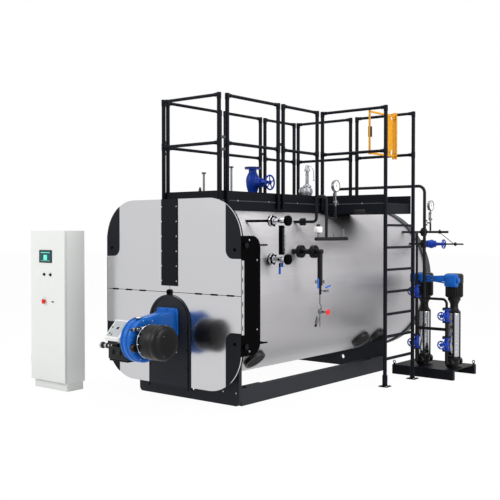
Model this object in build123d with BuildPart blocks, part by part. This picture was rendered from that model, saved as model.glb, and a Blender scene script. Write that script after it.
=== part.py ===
from build123d import *
import os
from math import cos, radians, sin, sqrt

# Packaged fire-tube steam boiler with its burner, access platform, fittings, feed pump set and control cabinet.
# Millimetres. Origin on the floor under the boiler's axis, in the middle of the front saddle plate.
# X points to the right as seen from the burner, Y to the boiler's back and Z up.

os.makedirs("parts", exist_ok=True)

# Clearances
seat = 0.3          # between a curved piece and what carries it
running = 8.0       # between a moving piece and a fixed one
pin_play = 0.05     # radial play of a hinge pin in its knuckle

# Hand wheels, as shares of the rim's thickness
spoke_share = 0.7
hub_share = 1.5

# Boiler body
jacket_r = 1005.0
jacket_clear = 215.0
jacket_wall = 110.0
jacket_length = 4200.0
jacket_lead = 240.0
collar_length = 130.0
collar_t = 22.0
saddle_t = 45.0
saddle_half_x = 770.0
saddle_corner_r = 50.0
saddle_hole_r = 32.0
saddle_hole_x = 80.0
saddle_hole_z = 120.0
rear_overhang = 817.5
beam_h = 190.0
beam_w = 80.0
beam_web = 8.0
beam_flange = 11.0
pad_gap = 80.0
pad_l = 300.0
pad_t = 12.0

# Front frame and its cladding
frame_t = 20.0
frame_margin = 22.0
frame_corner_r = 450.0
sheet_t = 15.0
sheet_gap = 6.0
seam_slot_l = 110.0
seam_slot_h = 18.0
seam_slots_x = (882.0, 656.6, 431.2)
strip_half_x = 120.0
strip_t = 12.0
strip_rise = 70.0
strip_pitch = 164.0
strip_first = 55.0
strip_groove = 5.0
burner_plate_half_x = 300.0
burner_plate_t = 22.0
burner_drop = 330.0
burner_plate_rim = 28.0
corner_plate_w = 207.0
corner_plate_t = 5.0
corner_plate_rise = 385.0
corner_plate_fillet = 95.0
side_plate_t = 7.0
side_plate_half_z = 625.0
side_plate_overhang = 35.0
side_plate_r = 130.0
tie_rod_r = 9.0
tie_rod_inset = 45.0
tie_rod_overhang = 180.0
boss_r = 30.0
boss_l = 22.0
boss_offset_z = 525.0

# Rear end
rear_plate_t = 20.0
rear_plate_inset = 30.0
rear_box_r = 700.0
rear_box_l = 70.0
rear_door_r = 240.0
rear_door_t = 36.0
rear_door_drop = 360.0
rear_door_bolts = 8
flue_r = 230.0
flue_wall = 8.0
flue_l = 160.0
flue_flange_r = 285.0
flue_flange_t = 14.0
flue_rise = 330.0
flue_bolts = 12
flue_bolt_pcd = 520.0
flue_bolt_hole_r = 9.0

# Burner
burner_flange_half = 160.0
burner_flange_t = 25.0
burner_reach = 430.0
fan_drop = 485.0
fan_r = 240.0
fan_half_w = 75.0
fan_rim_groove = 8.0
drum_r = 190.0
drum_neck_r = 120.0
drum_l = 320.0
drum_edge = 40.0
duct_half_w = 62.0
duct_root_half = 136.0
duct_corner_r = 40.0
fan_mouth_top = 204.0
fan_mouth_bottom = -36.0
gas_block_w = 310.0
gas_block_d = 170.0
gas_block_h = 150.0
gas_block_drop = 628.0
gas_pipe_rise = 34.0
gas_pipe_r = 26.0
gas_pipe_bore_r = 20.8
gas_pipe_l = 200.0
gas_flange_r = 45.0
desk_w = 240.0
desk_l = 260.0
desk_t = 40.0
desk_tilt = 46.0
desk_x = -370.0
desk_rise = 62.0
desk_arm_half = 35.0

# Handholes on the lower right of the shell
handhole_front = 532.5
handhole_backs = (1437.5, 967.5)
handhole_r = 95.0
handhole_half_slot = 12.0
handhole_h = 85.0
handhole_rim = 18.0
handhole_angle = 45.0

# Platform
deck_rise = 15.0
deck_t = 6.0
deck_cutout = 45.0
platform_beam_h = 118.0
platform_beam_w = 50.0
toe_h = 106.0
toe_t = 6.0
catwalk_rail_x = 460.0
catwalk_front_y = 42.0
landing_front_y = 2010.0
landing_rear_y = 2710.0
landing_reach = 385.0
tube_r = 21.0
rail_r = 20.0
rail_h = 1160.0
post_drop = 80.0
post_cap_h = 3.0
joint_gap = 100.0
rail_joint_y = 1129.0
rear_joint_x = 500.0
rail_corner = 102.0
stile_r = 24.0
stile_drop = 90.0
stile_socket_r = 32.0
stile_socket_h = 130.0
foot_plate = 120.0
foot_plate_t = 8.0
rung_first_z = 334.0
rung_count = 7
rung_half = 15.0

# Gate
gate_inset = 250.0
gate_tube_r = 13.0
gate_drop = 25.0
gate_sink = 10.0
gate_pin_r = 8.0
gate_pin_inset = 67.0
gate_plate_l = 180.0
gate_plate_t = 5.0
gate_channel_w = 60.0
gate_channel_d = 24.0

# Main steam valve and other top fittings
steam_y = 1165.0
steam_flange_r = 100.0
steam_flange_t = 22.0
steam_bore_r = 41.0
steam_bore_l = 110.0
steam_bolts = 8
steam_bolt_pcd = 160.0
steam_bolt_hole_r = 9.0
steam_body_r = 82.0
steam_neck_r = 55.0
steam_foot_rise = 65.0
steam_half_h = 200.0
steam_bonnet_r = 41.0
steam_bonnet_l = 40.0
steam_bonnet_flange_r = 58.0
steam_gland_r = 25.0
steam_wheel_x = 270.0
steam_wheel_r = 97.0
steam_wheel_rim = 16.0
steam_stem_r = 9.0
steam_stem_back = 30.0
safety_y = 2335.0
safety_neck_r = 38.0
safety_body_r = 95.0
safety_outlet_h = 190.0
safety_barrel_r = 70.0
safety_barrel_half = 55.0
safety_outlet_r = 50.0
safety_bonnet_r = 32.0
safety_cap_r = 24.0
safety_cap_h = 40.0
safety_h = 550.0
safety_lever_l = 120.0
safety_lever_t = 5.0
vent_ys = (266.0, 758.0)
vent_rises = (335.0, 435.0)
vent_r = 13.0
vent_cap_r = 26.0
vent_cap_h = 13.0

# Level gauge
gauge_y = 270.0
gauge_upper_rise = 785.0
gauge_lower_rise = 370.0
gauge_stub_r = 14.0
gauge_flange_l = 40.0
gauge_flange_r = 60.0
gauge_flange_back = 30.0
gauge_arm_r = 28.0
gauge_cap_l = 36.0
gauge_cap_r = 52.0
gauge_arm_l = 248.0
gauge_body_half = 34.0

# Pressure header
header_y = 1175.0
header_pipe_rise = 785.0
header_riser_back = 55.0
header_out = 85.0
header_top_rise = 1080.0
header_rise = 585.0
header_bend_r = 60.0
header_flange_back = 227.0
header_flange_l = 36.0
header_flange_r = 45.0
header_pipe_r = 17.0
header_r = 21.0
header_front_l = 230.0
header_rear_l = 455.0
header_nipples = (-165.0, 165.0, 365.0)
nipple_r = 9.0
nipple_l = 60.0
branch_rise = 240.0
transmitter_half = 45.0
transmitter_h = 110.0
transmitter_cap_r = 30.0
transmitter_cap_h = 30.0
dial_back = 190.0
dial_rise = 620.0
dial_r = 71.0
dial_t = 42.0
dial_stem_r = 12.0

# Water column with its drain cock
column_y = 780.0
column_rise = 445.0
column_out = 265.0
column_r = 27.0
column_flange_back = 20.0
column_flange_l = 50.0
column_flange_r = 74.0
column_h = 375.0
drain_l = 460.0
drain_r = 9.0
drain_body_r = 19.0
drain_valve_drop = 290.0
drain_wheel_reach = 110.0
drain_wheel_r = 35.0
drain_wheel_rim = 7.0

# Fittings at the rear right
rear_fitting_back = 337.5
rear_upper_rise = 666.0
rear_lower_rise = 502.0
rear_upper_l = 445.0
rear_pipe_r = 16.0
rear_flange_out = 55.0
rear_flange_l = 50.0
rear_flange_r = 48.0
rear_valve_out = 195.0
rear_valve_r = 48.0
rear_valve_half = 45.0
rear_wheel_out = 380.0
rear_wheel_r = 66.0
rear_wheel_rim = 12.0
rear_stem_r = 7.0
rear_stem_back = 32.0
rear_stem_ahead = 285.0
rear_dial_out = 180.0
rear_dial_rise = 363.0

# Feed line and pump set
feed_r = 20.0
feed_branch_r = 17.0
feed_bend_r = 60.0
riser_bend_r = 90.0
riser_x = 1403.0
feed_rise = 262.0
rear_feed_r = 14.0
rear_feed_x = 1000.0
skid_x0 = 990.0
skid_x1 = 1860.0
skid_y0 = 2900.0
skid_y1 = 3600.0
skid_h = 125.0
skid_plate_t = 8.0
skid_channel_w = 55.0
pump_xs = (1296.0, 1722.0)
pump_y = 3220.0
pump_foot_r = 95.0
pump_port_z = 190.0
pump_port_r = 55.0
pump_port_l = 150.0
pump_stack_r = 76.0
pump_stack_z = 250.0
pump_neck_r = 82.0
pump_neck_z = 835.0
pump_motor_z = 1035.0
pump_top_z = 1345.0
pump_motor_r = 118.0
drive_xs = (1266.0, 1757.0)
drive_half_w = 100.0
drive_d = 70.0
drive_hs = (130.0, 170.0)
drive_arm_t = 30.0
drive_arm_h = 75.0
valve_line_y = 3000.0
valve_low_z = 447.0
valve_high_zs = (1114.0, 815.0)
valve_half_l = 80.0
valve_body_r = 34.0
valve_bonnet_r = 22.0
valve_flange_r = 55.0
valve_flange_t = 14.0
valve_wheel_reach = 150.0
valve_wheel_r = 57.0
valve_wheel_rim = 11.0
valve_stem_r = 6.0
valve_stem_back = 25.0
cross_pipe_z = 630.0
bridge_z = 1020.0

# Control cabinet
cabinet_x0 = -1975.0
cabinet_w = 640.0
cabinet_y0 = -690.0
cabinet_d = 300.0
cabinet_h = 1900.0
plinth_h = 100.0
plinth_inset = 15.0
cabinet_wall = 12.0
door_t = 24.0
door_gap = 5.0
door_pin_r = 5.0
door_knuckle_r = 8.0
door_knuckle_h = 45.0
door_hinge_out = 9.0
door_hinge_inset = 250.0

# Places that follow from the sizes above
axis_z = jacket_r + jacket_clear
frame_half = jacket_r + frame_margin
jacket_front_y = -saddle_t / 2 - jacket_lead
frame_front_y = jacket_front_y - frame_t
front_y = frame_front_y - sheet_t
jacket_back_y = jacket_front_y + jacket_length
rear_saddle_y = jacket_back_y - rear_overhang
shell_inner_r = jacket_r - jacket_wall
shell_top_z = axis_z + jacket_r
strip_bottom_z = axis_z + strip_rise
burner_z = axis_z - burner_drop
fan_z = axis_z - fan_drop
gas_block_z = axis_z - gas_block_drop
handhole_ys = (jacket_front_y + handhole_front, *(jacket_back_y - back for back in handhole_backs))
ladder_x = jacket_r + landing_reach
deck_z = shell_top_z + deck_rise
rail_top_z = deck_z + rail_h
rail_mid_z = (deck_z + toe_h + rail_top_z) / 2
post_foot_z = deck_z - post_drop
stile_top_z = deck_z - stile_drop
rung_pitch = (deck_z - rung_first_z) / rung_count
gate_x = ladder_x - gate_inset
gate_pin_y = landing_rear_y - gate_pin_inset
gate_top_z = rail_top_z - gate_drop
gate_bottom_z = rail_mid_z - gate_sink
steam_foot_z = shell_top_z + steam_foot_rise
steam_center_z = steam_foot_z + steam_half_h
steam_top_z = steam_center_z + steam_half_h
safety_top_z = deck_z + safety_h
gauge_upper_z = axis_z + gauge_upper_rise
gauge_lower_z = axis_z + gauge_lower_rise
gauge_flange_x = jacket_r - gauge_flange_back
gauge_far_x = gauge_flange_x + gauge_arm_l
gauge_body_x = (gauge_flange_x + gauge_flange_l + gauge_far_x) / 2
header_pipe_z = axis_z + header_pipe_rise
header_riser_x = jacket_r - header_riser_back
header_x = jacket_r + header_out
header_top_z = axis_z + header_top_rise
header_z = axis_z + header_rise
header_flange_x = jacket_r - header_flange_back
branch_z = header_z + branch_rise
dial_y = header_y + dial_back
dial_z = header_z + dial_rise
column_z = axis_z + column_rise
column_x = jacket_r + column_out
column_flange_x = jacket_r - column_flange_back
column_foot_z = column_z - column_h
drain_foot_z = column_foot_z - drain_l
drain_valve_z = column_foot_z - drain_valve_drop
rear_y = jacket_back_y - rear_fitting_back
rear_upper_z = axis_z + rear_upper_rise
rear_lower_z = axis_z + rear_lower_rise
rear_upper_end_x = jacket_r + rear_upper_l
rear_flange_x = jacket_r + rear_flange_out
rear_valve_x = jacket_r + rear_valve_out
rear_wheel_x = jacket_r + rear_wheel_out
rear_dial_x = jacket_r + rear_dial_out
rear_dial_z = rear_upper_z + rear_dial_rise
high_valve_tops = [z + valve_half_l for z in valve_high_zs]
feed_z = shell_top_z + feed_rise


def rod(start, end, radius):
    """Add a round bar from one point to another to the part being built."""
    run = Vector(*end) - Vector(*start)
    with BuildSketch(Plane(origin=start, z_dir=run)) as section:
        Circle(radius)
    extrude(section.sketch, amount=run.length)


def tube(start, end, radius, bore):
    """Add a round pipe with an open bore from one point to another."""
    run = Vector(*end) - Vector(*start)
    with BuildSketch(Plane(origin=start, z_dir=run)) as section:
        Circle(radius)
        Circle(bore, mode=Mode.SUBTRACT)
    extrude(section.sketch, amount=run.length)


def bent_pipe(points, radius, bend):
    """Add a round pipe that follows straight runs with equal bends."""
    with BuildLine() as route:
        FilletPolyline(*points, radius=bend)
    with BuildSketch(Plane(origin=route.line @ 0, z_dir=route.line % 0)) as section:
        Circle(radius)
    sweep(section.sketch, path=route.line)


def block(x0, x1, y0, y1, z0, z1, mode=Mode.ADD):
    """Add or cut a square-edged block between two corners."""
    with Locations(((x0 + x1) / 2, (y0 + y1) / 2, (z0 + z1) / 2)):
        Box(abs(x1 - x0), abs(y1 - y0), abs(z1 - z0), mode=mode)


def cut_to_shell():
    """Cut the part being built back to the jacket's curved surface."""
    with BuildSketch(Plane.XZ.offset(-jacket_front_y)) as bore:
        with Locations((0, axis_z)):
            Circle(jacket_r + seat)
    extrude(bore.sketch, amount=-jacket_length, mode=Mode.SUBTRACT)


def hand_wheel(center, axis, radius, rim):
    """Add a spoked hand wheel: a rim, three spokes and a hub."""
    plane = Plane(origin=center, z_dir=axis)
    with BuildSketch(plane.offset(-rim / 2)) as wheel:
        Circle(radius)
        Circle(radius - rim, mode=Mode.SUBTRACT)
        with PolarLocations((radius - rim / 2) / 2, 3):
            Rectangle(radius - rim / 2, spoke_share * rim)
        Circle(hub_share * rim)
    extrude(wheel.sketch, amount=rim)


# Base


def saddle(y):
    """A saddle plate that stands on the floor and cradles the jacket."""
    with BuildSketch(Plane.XZ.offset(-(y + saddle_t / 2))) as outline:
        with Locations((0, axis_z / 2)):
            plate = Rectangle(2 * saddle_half_x, axis_z)
        fillet(plate.vertices().group_by(Axis.Y)[0], radius=saddle_corner_r)
        with Locations((0, axis_z)):
            Circle(jacket_r + seat, mode=Mode.SUBTRACT)
        with Locations((saddle_hole_x, saddle_hole_z)):
            Circle(saddle_hole_r, mode=Mode.SUBTRACT)
    extrude(outline.sketch, amount=saddle_t)


with BuildPart() as front_saddle:
    saddle(0)
front_saddle.part.label = "front_saddle"

with BuildPart() as rear_saddle:
    saddle(rear_saddle_y)
rear_saddle.part.label = "rear_saddle"


def base_beam(side):
    """A channel that joins the two saddle plates along one side."""
    with BuildSketch(Plane.XZ.offset(-saddle_t / 2)) as section:
        with Locations((side * (saddle_half_x - beam_w / 2), beam_h / 2)):
            Rectangle(beam_w, beam_h)
        with Locations((side * (saddle_half_x - beam_web - beam_w / 2), beam_h / 2)):
            Rectangle(beam_w, beam_h - 2 * beam_flange, mode=Mode.SUBTRACT)
    extrude(section.sketch, amount=-(rear_saddle_y - saddle_t))
    pad_inset = saddle_t / 2 + pad_gap
    for y in (pad_inset, rear_saddle_y - pad_inset - pad_l):
        x = side * (saddle_half_x - beam_w / 2)
        block(x - beam_w / 2, x + beam_w / 2, y, y + pad_l, beam_h, beam_h + pad_t)


with BuildPart() as base_beams:
    base_beam(-1)
    base_beam(1)
base_beams.part.label = "base_beams"

# Shell jacket: an insulated casing tube, closed at the back by its own plate

with BuildPart() as jacket:
    with BuildSketch(Plane.XZ.offset(-jacket_front_y)):
        with Locations((0, axis_z)):
            Circle(jacket_r)
            Circle(shell_inner_r, mode=Mode.SUBTRACT)
    extrude(amount=-jacket_length)
jacket.part.label = "jacket"

with BuildPart() as rear_collar:
    with BuildSketch(Plane.XZ.offset(-(jacket_back_y - collar_length))):
        with Locations((0, axis_z)):
            Circle(jacket_r + seat + collar_t)
            Circle(jacket_r + seat, mode=Mode.SUBTRACT)
    extrude(amount=-collar_length)
rear_collar.part.label = "rear_collar"

flue_z = axis_z + flue_rise
rear_door_z = axis_z - rear_door_drop
rear_face_y = jacket_back_y - rear_plate_inset
rear_box_y = rear_face_y + rear_box_l

with BuildPart() as rear_end:
    with BuildSketch(Plane.XZ.offset(-rear_face_y + rear_plate_t)):
        with Locations((0, axis_z)):
            Circle(shell_inner_r - seat)
    extrude(amount=-rear_plate_t)
    with BuildSketch(Plane.XZ.offset(-rear_face_y)):
        with Locations((0, axis_z)):
            Circle(rear_box_r)
    extrude(amount=-rear_box_l)
    chamfer(rear_end.edges().filter_by(GeomType.CIRCLE).sort_by(Axis.Y)[-1], length=rear_plate_t)
rear_end.part.label = "rear_end"

with BuildPart() as rear_door:
    with BuildSketch(Plane.XZ.offset(-rear_box_y)):
        with Locations((0, rear_door_z)):
            Circle(rear_door_r)
    extrude(amount=-rear_door_t)
    chamfer(rear_door.edges().filter_by(GeomType.CIRCLE).sort_by(Axis.Y)[-1], length=rear_door_t / 3)
    with Locations(Plane(origin=(0, rear_box_y + rear_door_t, rear_door_z), z_dir=(0, 1, 0))):
        with PolarLocations(rear_door_r - rear_door_t, rear_door_bolts):
            Cylinder(rear_door_t / 3, rear_door_t / 2, align=(Align.CENTER, Align.CENTER, Align.MIN))
rear_door.part.label = "rear_door"

with BuildPart() as flue_outlet:
    tube((0, rear_box_y, flue_z), (0, rear_box_y + flue_l, flue_z), flue_r, flue_r - flue_wall)
    tube(
        (0, rear_box_y + flue_l - flue_flange_t, flue_z),
        (0, rear_box_y + flue_l, flue_z),
        flue_flange_r,
        flue_r - flue_wall,
    )
    with Locations(Plane(origin=(0, rear_box_y + flue_l, flue_z), z_dir=(0, 1, 0))):
        with PolarLocations(flue_bolt_pcd / 2, flue_bolts):
            Hole(flue_bolt_hole_r, depth=flue_flange_t)
flue_outlet.part.label = "flue_outlet"

# Front frame: a round-cornered plate on the jacket's end that carries the cladding sheets


def front_outline():
    """The front's round-cornered square about the boiler's axis."""
    with Locations((0, axis_z)):
        RectangleRounded(2 * frame_half, 2 * frame_half, frame_corner_r)


with BuildPart() as front_frame:
    with BuildSketch(Plane.XZ.offset(-frame_front_y)):
        front_outline()
    extrude(amount=-frame_t)
front_frame.part.label = "front_frame"


def front_sheet(side, upper):
    """One cladding sheet, a quarter of the front with its place beside the strip or burner plate."""
    inner_x = strip_half_x if upper else burner_plate_half_x
    half_seam = sheet_gap / 2
    reach = frame_half + half_seam
    with BuildSketch(Plane.XZ.offset(-front_y)) as outline:
        front_outline()
        middle_z = axis_z + half_seam + reach / 2 if upper else axis_z - half_seam - reach / 2
        with Locations((side * (half_seam + reach / 2), middle_z)):
            Rectangle(reach, reach, mode=Mode.INTERSECT)
        if upper:
            with Locations((0, strip_bottom_z + reach / 2)):
                Rectangle(2 * inner_x, reach, mode=Mode.SUBTRACT)
        else:
            with Locations((0, burner_z)):
                Circle(inner_x, mode=Mode.SUBTRACT)
            with Locations((0, burner_z - reach / 2)):
                Rectangle(2 * inner_x, reach, mode=Mode.SUBTRACT)
        for x in seam_slots_x:
            with Locations((side * x, axis_z)):
                SlotOverall(seam_slot_l, seam_slot_h, mode=Mode.SUBTRACT)
    extrude(outline.sketch, amount=-sheet_t)


with BuildPart() as upper_sheets:
    front_sheet(-1, True)
    front_sheet(1, True)
upper_sheets.part.label = "upper_sheets"

with BuildPart() as lower_sheets:
    front_sheet(-1, False)
    front_sheet(1, False)
lower_sheets.part.label = "lower_sheets"

strip_top_z = axis_z + frame_half

with BuildPart() as centre_strip:
    with BuildSketch(Plane.XZ.offset(-(front_y - strip_t))):
        with Locations((0, (strip_bottom_z + strip_top_z) / 2)):
            Rectangle(2 * strip_half_x - 2 * seat, strip_top_z - strip_bottom_z - 2 * seat)
    extrude(amount=-(strip_t + sheet_t))
    groove_z = strip_bottom_z + strip_first
    while groove_z < strip_top_z:
        block(
            -strip_half_x,
            strip_half_x,
            front_y - strip_t,
            front_y - strip_t + strip_groove,
            groove_z - strip_groove / 2,
            groove_z + strip_groove / 2,
            mode=Mode.SUBTRACT,
        )
        groove_z += strip_pitch
centre_strip.part.label = "centre_strip"

with BuildPart() as burner_plate:
    with BuildSketch(Plane.XZ.offset(-(front_y - burner_plate_t))):
        plate_foot_z = axis_z - frame_half
        with Locations((0, burner_z)):
            Circle(burner_plate_half_x - seat)
        with Locations((0, (burner_z + plate_foot_z) / 2)):
            Rectangle(2 * (burner_plate_half_x - seat), burner_z - plate_foot_z)
    extrude(amount=-(burner_plate_t + sheet_t))
    with BuildSketch(Plane.XZ.offset(-(front_y - burner_plate_t))):
        with Locations((0, burner_z)):
            Circle(burner_plate_half_x - seat)
            Circle(burner_plate_half_x - burner_plate_rim, mode=Mode.SUBTRACT)
        with Locations((0, burner_z - burner_plate_half_x)):
            Rectangle(2 * burner_plate_half_x, 2 * burner_plate_half_x, mode=Mode.SUBTRACT)
    extrude(amount=burner_plate_t / 3)
    # Lifting eye at the top of the arch
    eye_z = burner_z + burner_plate_half_x - seat
    with BuildSketch(Plane.XZ.offset(-(front_y - burner_plate_t))):
        with Locations((0, eye_z + burner_plate_rim)):
            Circle(burner_plate_rim)
            Circle(burner_plate_rim / 3, mode=Mode.SUBTRACT)
        with Locations((0, eye_z)):
            Rectangle(2 * burner_plate_rim, burner_plate_rim)
    extrude(amount=-burner_plate_t + seat)
burner_plate.part.label = "burner_plate"

with BuildPart() as corner_plates:
    for side in (-1, 1):
        for level in (-1, 1):
            inner_x = frame_half - corner_plate_w
            middle_z = axis_z + level * (corner_plate_rise + frame_half / 2)
            with BuildSketch(Plane.XZ.offset(-(front_y - corner_plate_t))):
                front_outline()
                with Locations((side * (inner_x + frame_half / 2), middle_z)):
                    RectangleRounded(frame_half, frame_half, corner_plate_fillet, mode=Mode.INTERSECT)
            extrude(amount=-(corner_plate_t - seat / 3))
corner_plates.part.label = "corner_plates"


def side_plate(side):
    """The dark plate on one side of the front, with its bosses and tie rods."""
    with BuildSketch(Plane.YZ.offset(side * frame_half)) as outline:
        y0, y1 = front_y, -saddle_t / 2 + side_plate_overhang
        with Locations(((y0 + y1) / 2, axis_z)):
            plate = Rectangle(y1 - y0, 2 * side_plate_half_z)
        fillet(plate.vertices().group_by(Axis.X)[-1], radius=side_plate_r)
    extrude(outline.sketch, amount=side * side_plate_t)
    for level in (-1, 1):
        boss_z = axis_z + level * boss_offset_z
        boss_y = front_y + 2 * boss_r
        face_x = side * (frame_half + side_plate_t)
        rod((face_x, boss_y, boss_z), (face_x + side * boss_l, boss_y, boss_z), boss_r)
        rod_x = side * (frame_half - tie_rod_inset)
        rod_end_y = y1 + tie_rod_overhang
        foot_y = rod_end_y - 2 * tie_rod_r
        rod((rod_x, jacket_front_y, boss_z), (rod_x, rod_end_y, boss_z), tie_rod_r)
        rod((side * frame_half, boss_y, boss_z), (rod_x, boss_y, boss_z), boss_r / 2)
        rod((side * shell_inner_r / 2, foot_y, boss_z), (rod_x, foot_y, boss_z), 2 * tie_rod_r / 3)


with BuildPart() as side_plates:
    side_plate(-1)
    side_plate(1)
    cut_to_shell()
side_plates.part.label = "side_plates"

# Burner: flange and duct, fan housing, motor drum, gas valve and control desk

burner_face_y = front_y - burner_plate_t
fan_y = front_y - burner_reach

with BuildPart() as burner_duct:
    with BuildSketch(Plane.XZ.offset(-burner_face_y)):
        with Locations((0, burner_z)):
            RectangleRounded(2 * burner_flange_half, 2 * burner_flange_half, duct_corner_r)
    extrude(amount=burner_flange_t)
    duct_front_y = burner_face_y - burner_flange_t
    with BuildSketch(Plane.XZ.offset(-duct_front_y)):
        with Locations((0, burner_z)):
            RectangleRounded(2 * duct_root_half, 2 * duct_root_half, duct_corner_r)
    with BuildSketch(Plane.XZ.offset(-(fan_y + fan_r))):
        with Locations((0, fan_z + (fan_mouth_top + fan_mouth_bottom) / 2)):
            RectangleRounded(2 * duct_half_w, fan_mouth_top - fan_mouth_bottom, duct_corner_r)
    loft()
burner_duct.part.label = "burner_duct"

with BuildPart() as fan_housing:
    with BuildSketch(Plane.YZ.offset(-fan_half_w)):
        with Locations((fan_y, fan_z)):
            Circle(fan_r)
        with BuildLine():
            mouth_y = fan_y + fan_r
            Polyline(
                (fan_y, fan_z + fan_r),
                (mouth_y, fan_z + fan_mouth_top),
                (mouth_y, fan_z + fan_mouth_bottom),
                (fan_y, fan_z),
                close=True,
            )
        make_face()
    extrude(amount=2 * fan_half_w)
    for step in (-1, 1):
        groove_x = step * fan_half_w / 3
        with BuildSketch(Plane.YZ.offset(groove_x - fan_rim_groove / 2)):
            with Locations((fan_y, fan_z)):
                Circle(fan_r + fan_rim_groove)
                Circle(fan_r - fan_rim_groove, mode=Mode.SUBTRACT)
            with Locations((fan_y + fan_r, fan_z)):
                Rectangle(fan_r, 3 * fan_r, mode=Mode.SUBTRACT)
        extrude(amount=fan_rim_groove, mode=Mode.SUBTRACT)
fan_housing.part.label = "fan_housing"

with BuildPart() as fan_motor:
    with BuildSketch(Plane.YZ.offset(fan_half_w)):
        with Locations((fan_y, fan_z)):
            Circle(drum_neck_r)
    extrude(amount=drum_edge)
    with BuildSketch(Plane.YZ.offset(fan_half_w + drum_edge / 2)):
        with Locations((fan_y, fan_z)):
            Circle(drum_r)
    extrude(amount=drum_l - drum_edge / 2)
    chamfer(fan_motor.edges().filter_by(GeomType.CIRCLE).sort_by(Axis.X)[-1], length=drum_edge)
fan_motor.part.label = "fan_motor"

with BuildPart() as gas_valve:
    block_x1 = -fan_half_w - 2 * gas_pipe_r
    block(
        block_x1 - gas_block_w,
        block_x1,
        fan_y - gas_block_d / 2,
        fan_y + gas_block_d / 2,
        gas_block_z - gas_block_h / 2,
        gas_block_z + gas_block_h / 2,
    )
    pipe_z = gas_block_z + gas_pipe_rise
    rod((block_x1, fan_y, pipe_z), (-fan_half_w, fan_y, pipe_z), gas_pipe_r)
    inlet_x = block_x1 - gas_block_w
    tube((inlet_x, fan_y, pipe_z), (inlet_x - gas_pipe_l, fan_y, pipe_z), gas_pipe_r, gas_pipe_bore_r)
    tube(
        (inlet_x - gas_pipe_l, fan_y, pipe_z),
        (inlet_x - gas_pipe_l + gas_pipe_r, fan_y, pipe_z),
        gas_flange_r,
        gas_pipe_bore_r,
    )
gas_valve.part.label = "gas_valve"

with BuildPart() as burner_desk:
    desk_plane = Plane(
        origin=(desk_x, fan_y, fan_z + desk_rise),
        x_dir=(1, 0, 0),
        z_dir=(0, -sin(radians(desk_tilt)), cos(radians(desk_tilt))),
    )
    with BuildSketch(desk_plane):
        RectangleRounded(desk_w, desk_l, desk_t / 4)
    extrude(amount=desk_t)
    block(
        desk_x - desk_w / 4,
        -fan_half_w - seat,
        fan_y - desk_arm_half,
        fan_y + desk_arm_half,
        fan_z,
        fan_z + desk_rise,
    )
burner_desk.part.label = "burner_desk"

# Handholes: slotted necks with a bolted cover, square to the shell

with BuildPart() as handholes:
    for y in handhole_ys:
        out = Vector(cos(radians(handhole_angle)), 0, -sin(radians(handhole_angle)))
        root = Vector(0, y, axis_z) + out * sqrt(jacket_r**2 - handhole_r**2)
        for reach, radius in ((handhole_h, handhole_r - handhole_rim), (handhole_h - handhole_rim, 0)):
            neck_r = radius if radius else handhole_r
            start = root if radius else root + out * (handhole_h - handhole_rim)
            height = handhole_h if radius else handhole_rim
            with BuildSketch(Plane(origin=start, x_dir=(0, 1, 0), z_dir=out)) as neck:
                SlotCenterToCenter(2 * handhole_half_slot, 2 * neck_r)
            extrude(neck.sketch, amount=height)
    cut_to_shell()
handholes.part.label = "handholes"

# Platform: long beams on the jacket, cross beams under the landing, deck, toe boards and railings

catwalk_half = catwalk_rail_x - tube_r
landing_y0 = landing_front_y + tube_r
landing_y1 = landing_rear_y - tube_r
landing_x1 = ladder_x - tube_r
catwalk_y0 = catwalk_front_y + tube_r
deck_under_z = deck_z - deck_t
beam_under_z = deck_under_z - platform_beam_h

with BuildPart() as platform_frame:
    for side in (-1, 1):
        inner = side * (catwalk_half - platform_beam_w)
        block(inner, side * catwalk_half, catwalk_y0, landing_y1, beam_under_z, deck_under_z)
    block(-catwalk_half, catwalk_half, catwalk_y0, catwalk_y0 + platform_beam_w, beam_under_z, deck_under_z)
    for y in (landing_y0, landing_y1 - platform_beam_w):
        block(-catwalk_half, landing_x1, y, y + platform_beam_w, beam_under_z, deck_under_z)
    block(landing_x1 - platform_beam_w, landing_x1, landing_y0, landing_y1, beam_under_z, deck_under_z)
    cut_to_shell()
platform_frame.part.label = "platform_frame"

with BuildPart() as platform_deck:
    with BuildSketch(Plane.XY.offset(deck_under_z)):
        with BuildLine():
            Polyline(
                (-catwalk_half, catwalk_y0),
                (catwalk_half, catwalk_y0),
                (catwalk_half, landing_y0),
                (landing_x1, landing_y0),
                (landing_x1, landing_y1),
                (-catwalk_half, landing_y1),
                close=True,
            )
        make_face()
        for y, radius in ((steam_y, steam_flange_r), (safety_y, safety_body_r)):
            with Locations((0, y)):
                Circle(radius + deck_cutout, mode=Mode.SUBTRACT)
        for y in vent_ys:
            with Locations((0, y)):
                Circle(vent_r + deck_cutout, mode=Mode.SUBTRACT)
    extrude(amount=deck_t)
platform_deck.part.label = "platform_deck"

with BuildPart() as toe_boards:
    top = deck_z + toe_h
    block(-catwalk_half, catwalk_half, catwalk_y0, catwalk_y0 + toe_t, deck_z, top)
    block(catwalk_half - toe_t, catwalk_half, catwalk_y0, landing_y0 + toe_t, deck_z, top)
    block(-catwalk_half, -catwalk_half + toe_t, catwalk_y0, landing_y1, deck_z, top)
    block(catwalk_half - toe_t, landing_x1, landing_y0, landing_y0 + toe_t, deck_z, top)
    block(-catwalk_half, landing_x1, landing_y1 - toe_t, landing_y1, deck_z, top)
toe_boards.part.label = "toe_boards"


def rail_panel(start, end, start_foot, end_foot):
    """One railing panel between two posts: top rail, mid rail and the posts down to their feet."""
    for (x, y), foot in ((start, start_foot), (end, end_foot)):
        rod((x, y, foot), (x, y, rail_top_z + tube_r + post_cap_h), tube_r)
    for z in (rail_top_z, rail_mid_z):
        rod((*start, z), (*end, z), rail_r)


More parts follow.
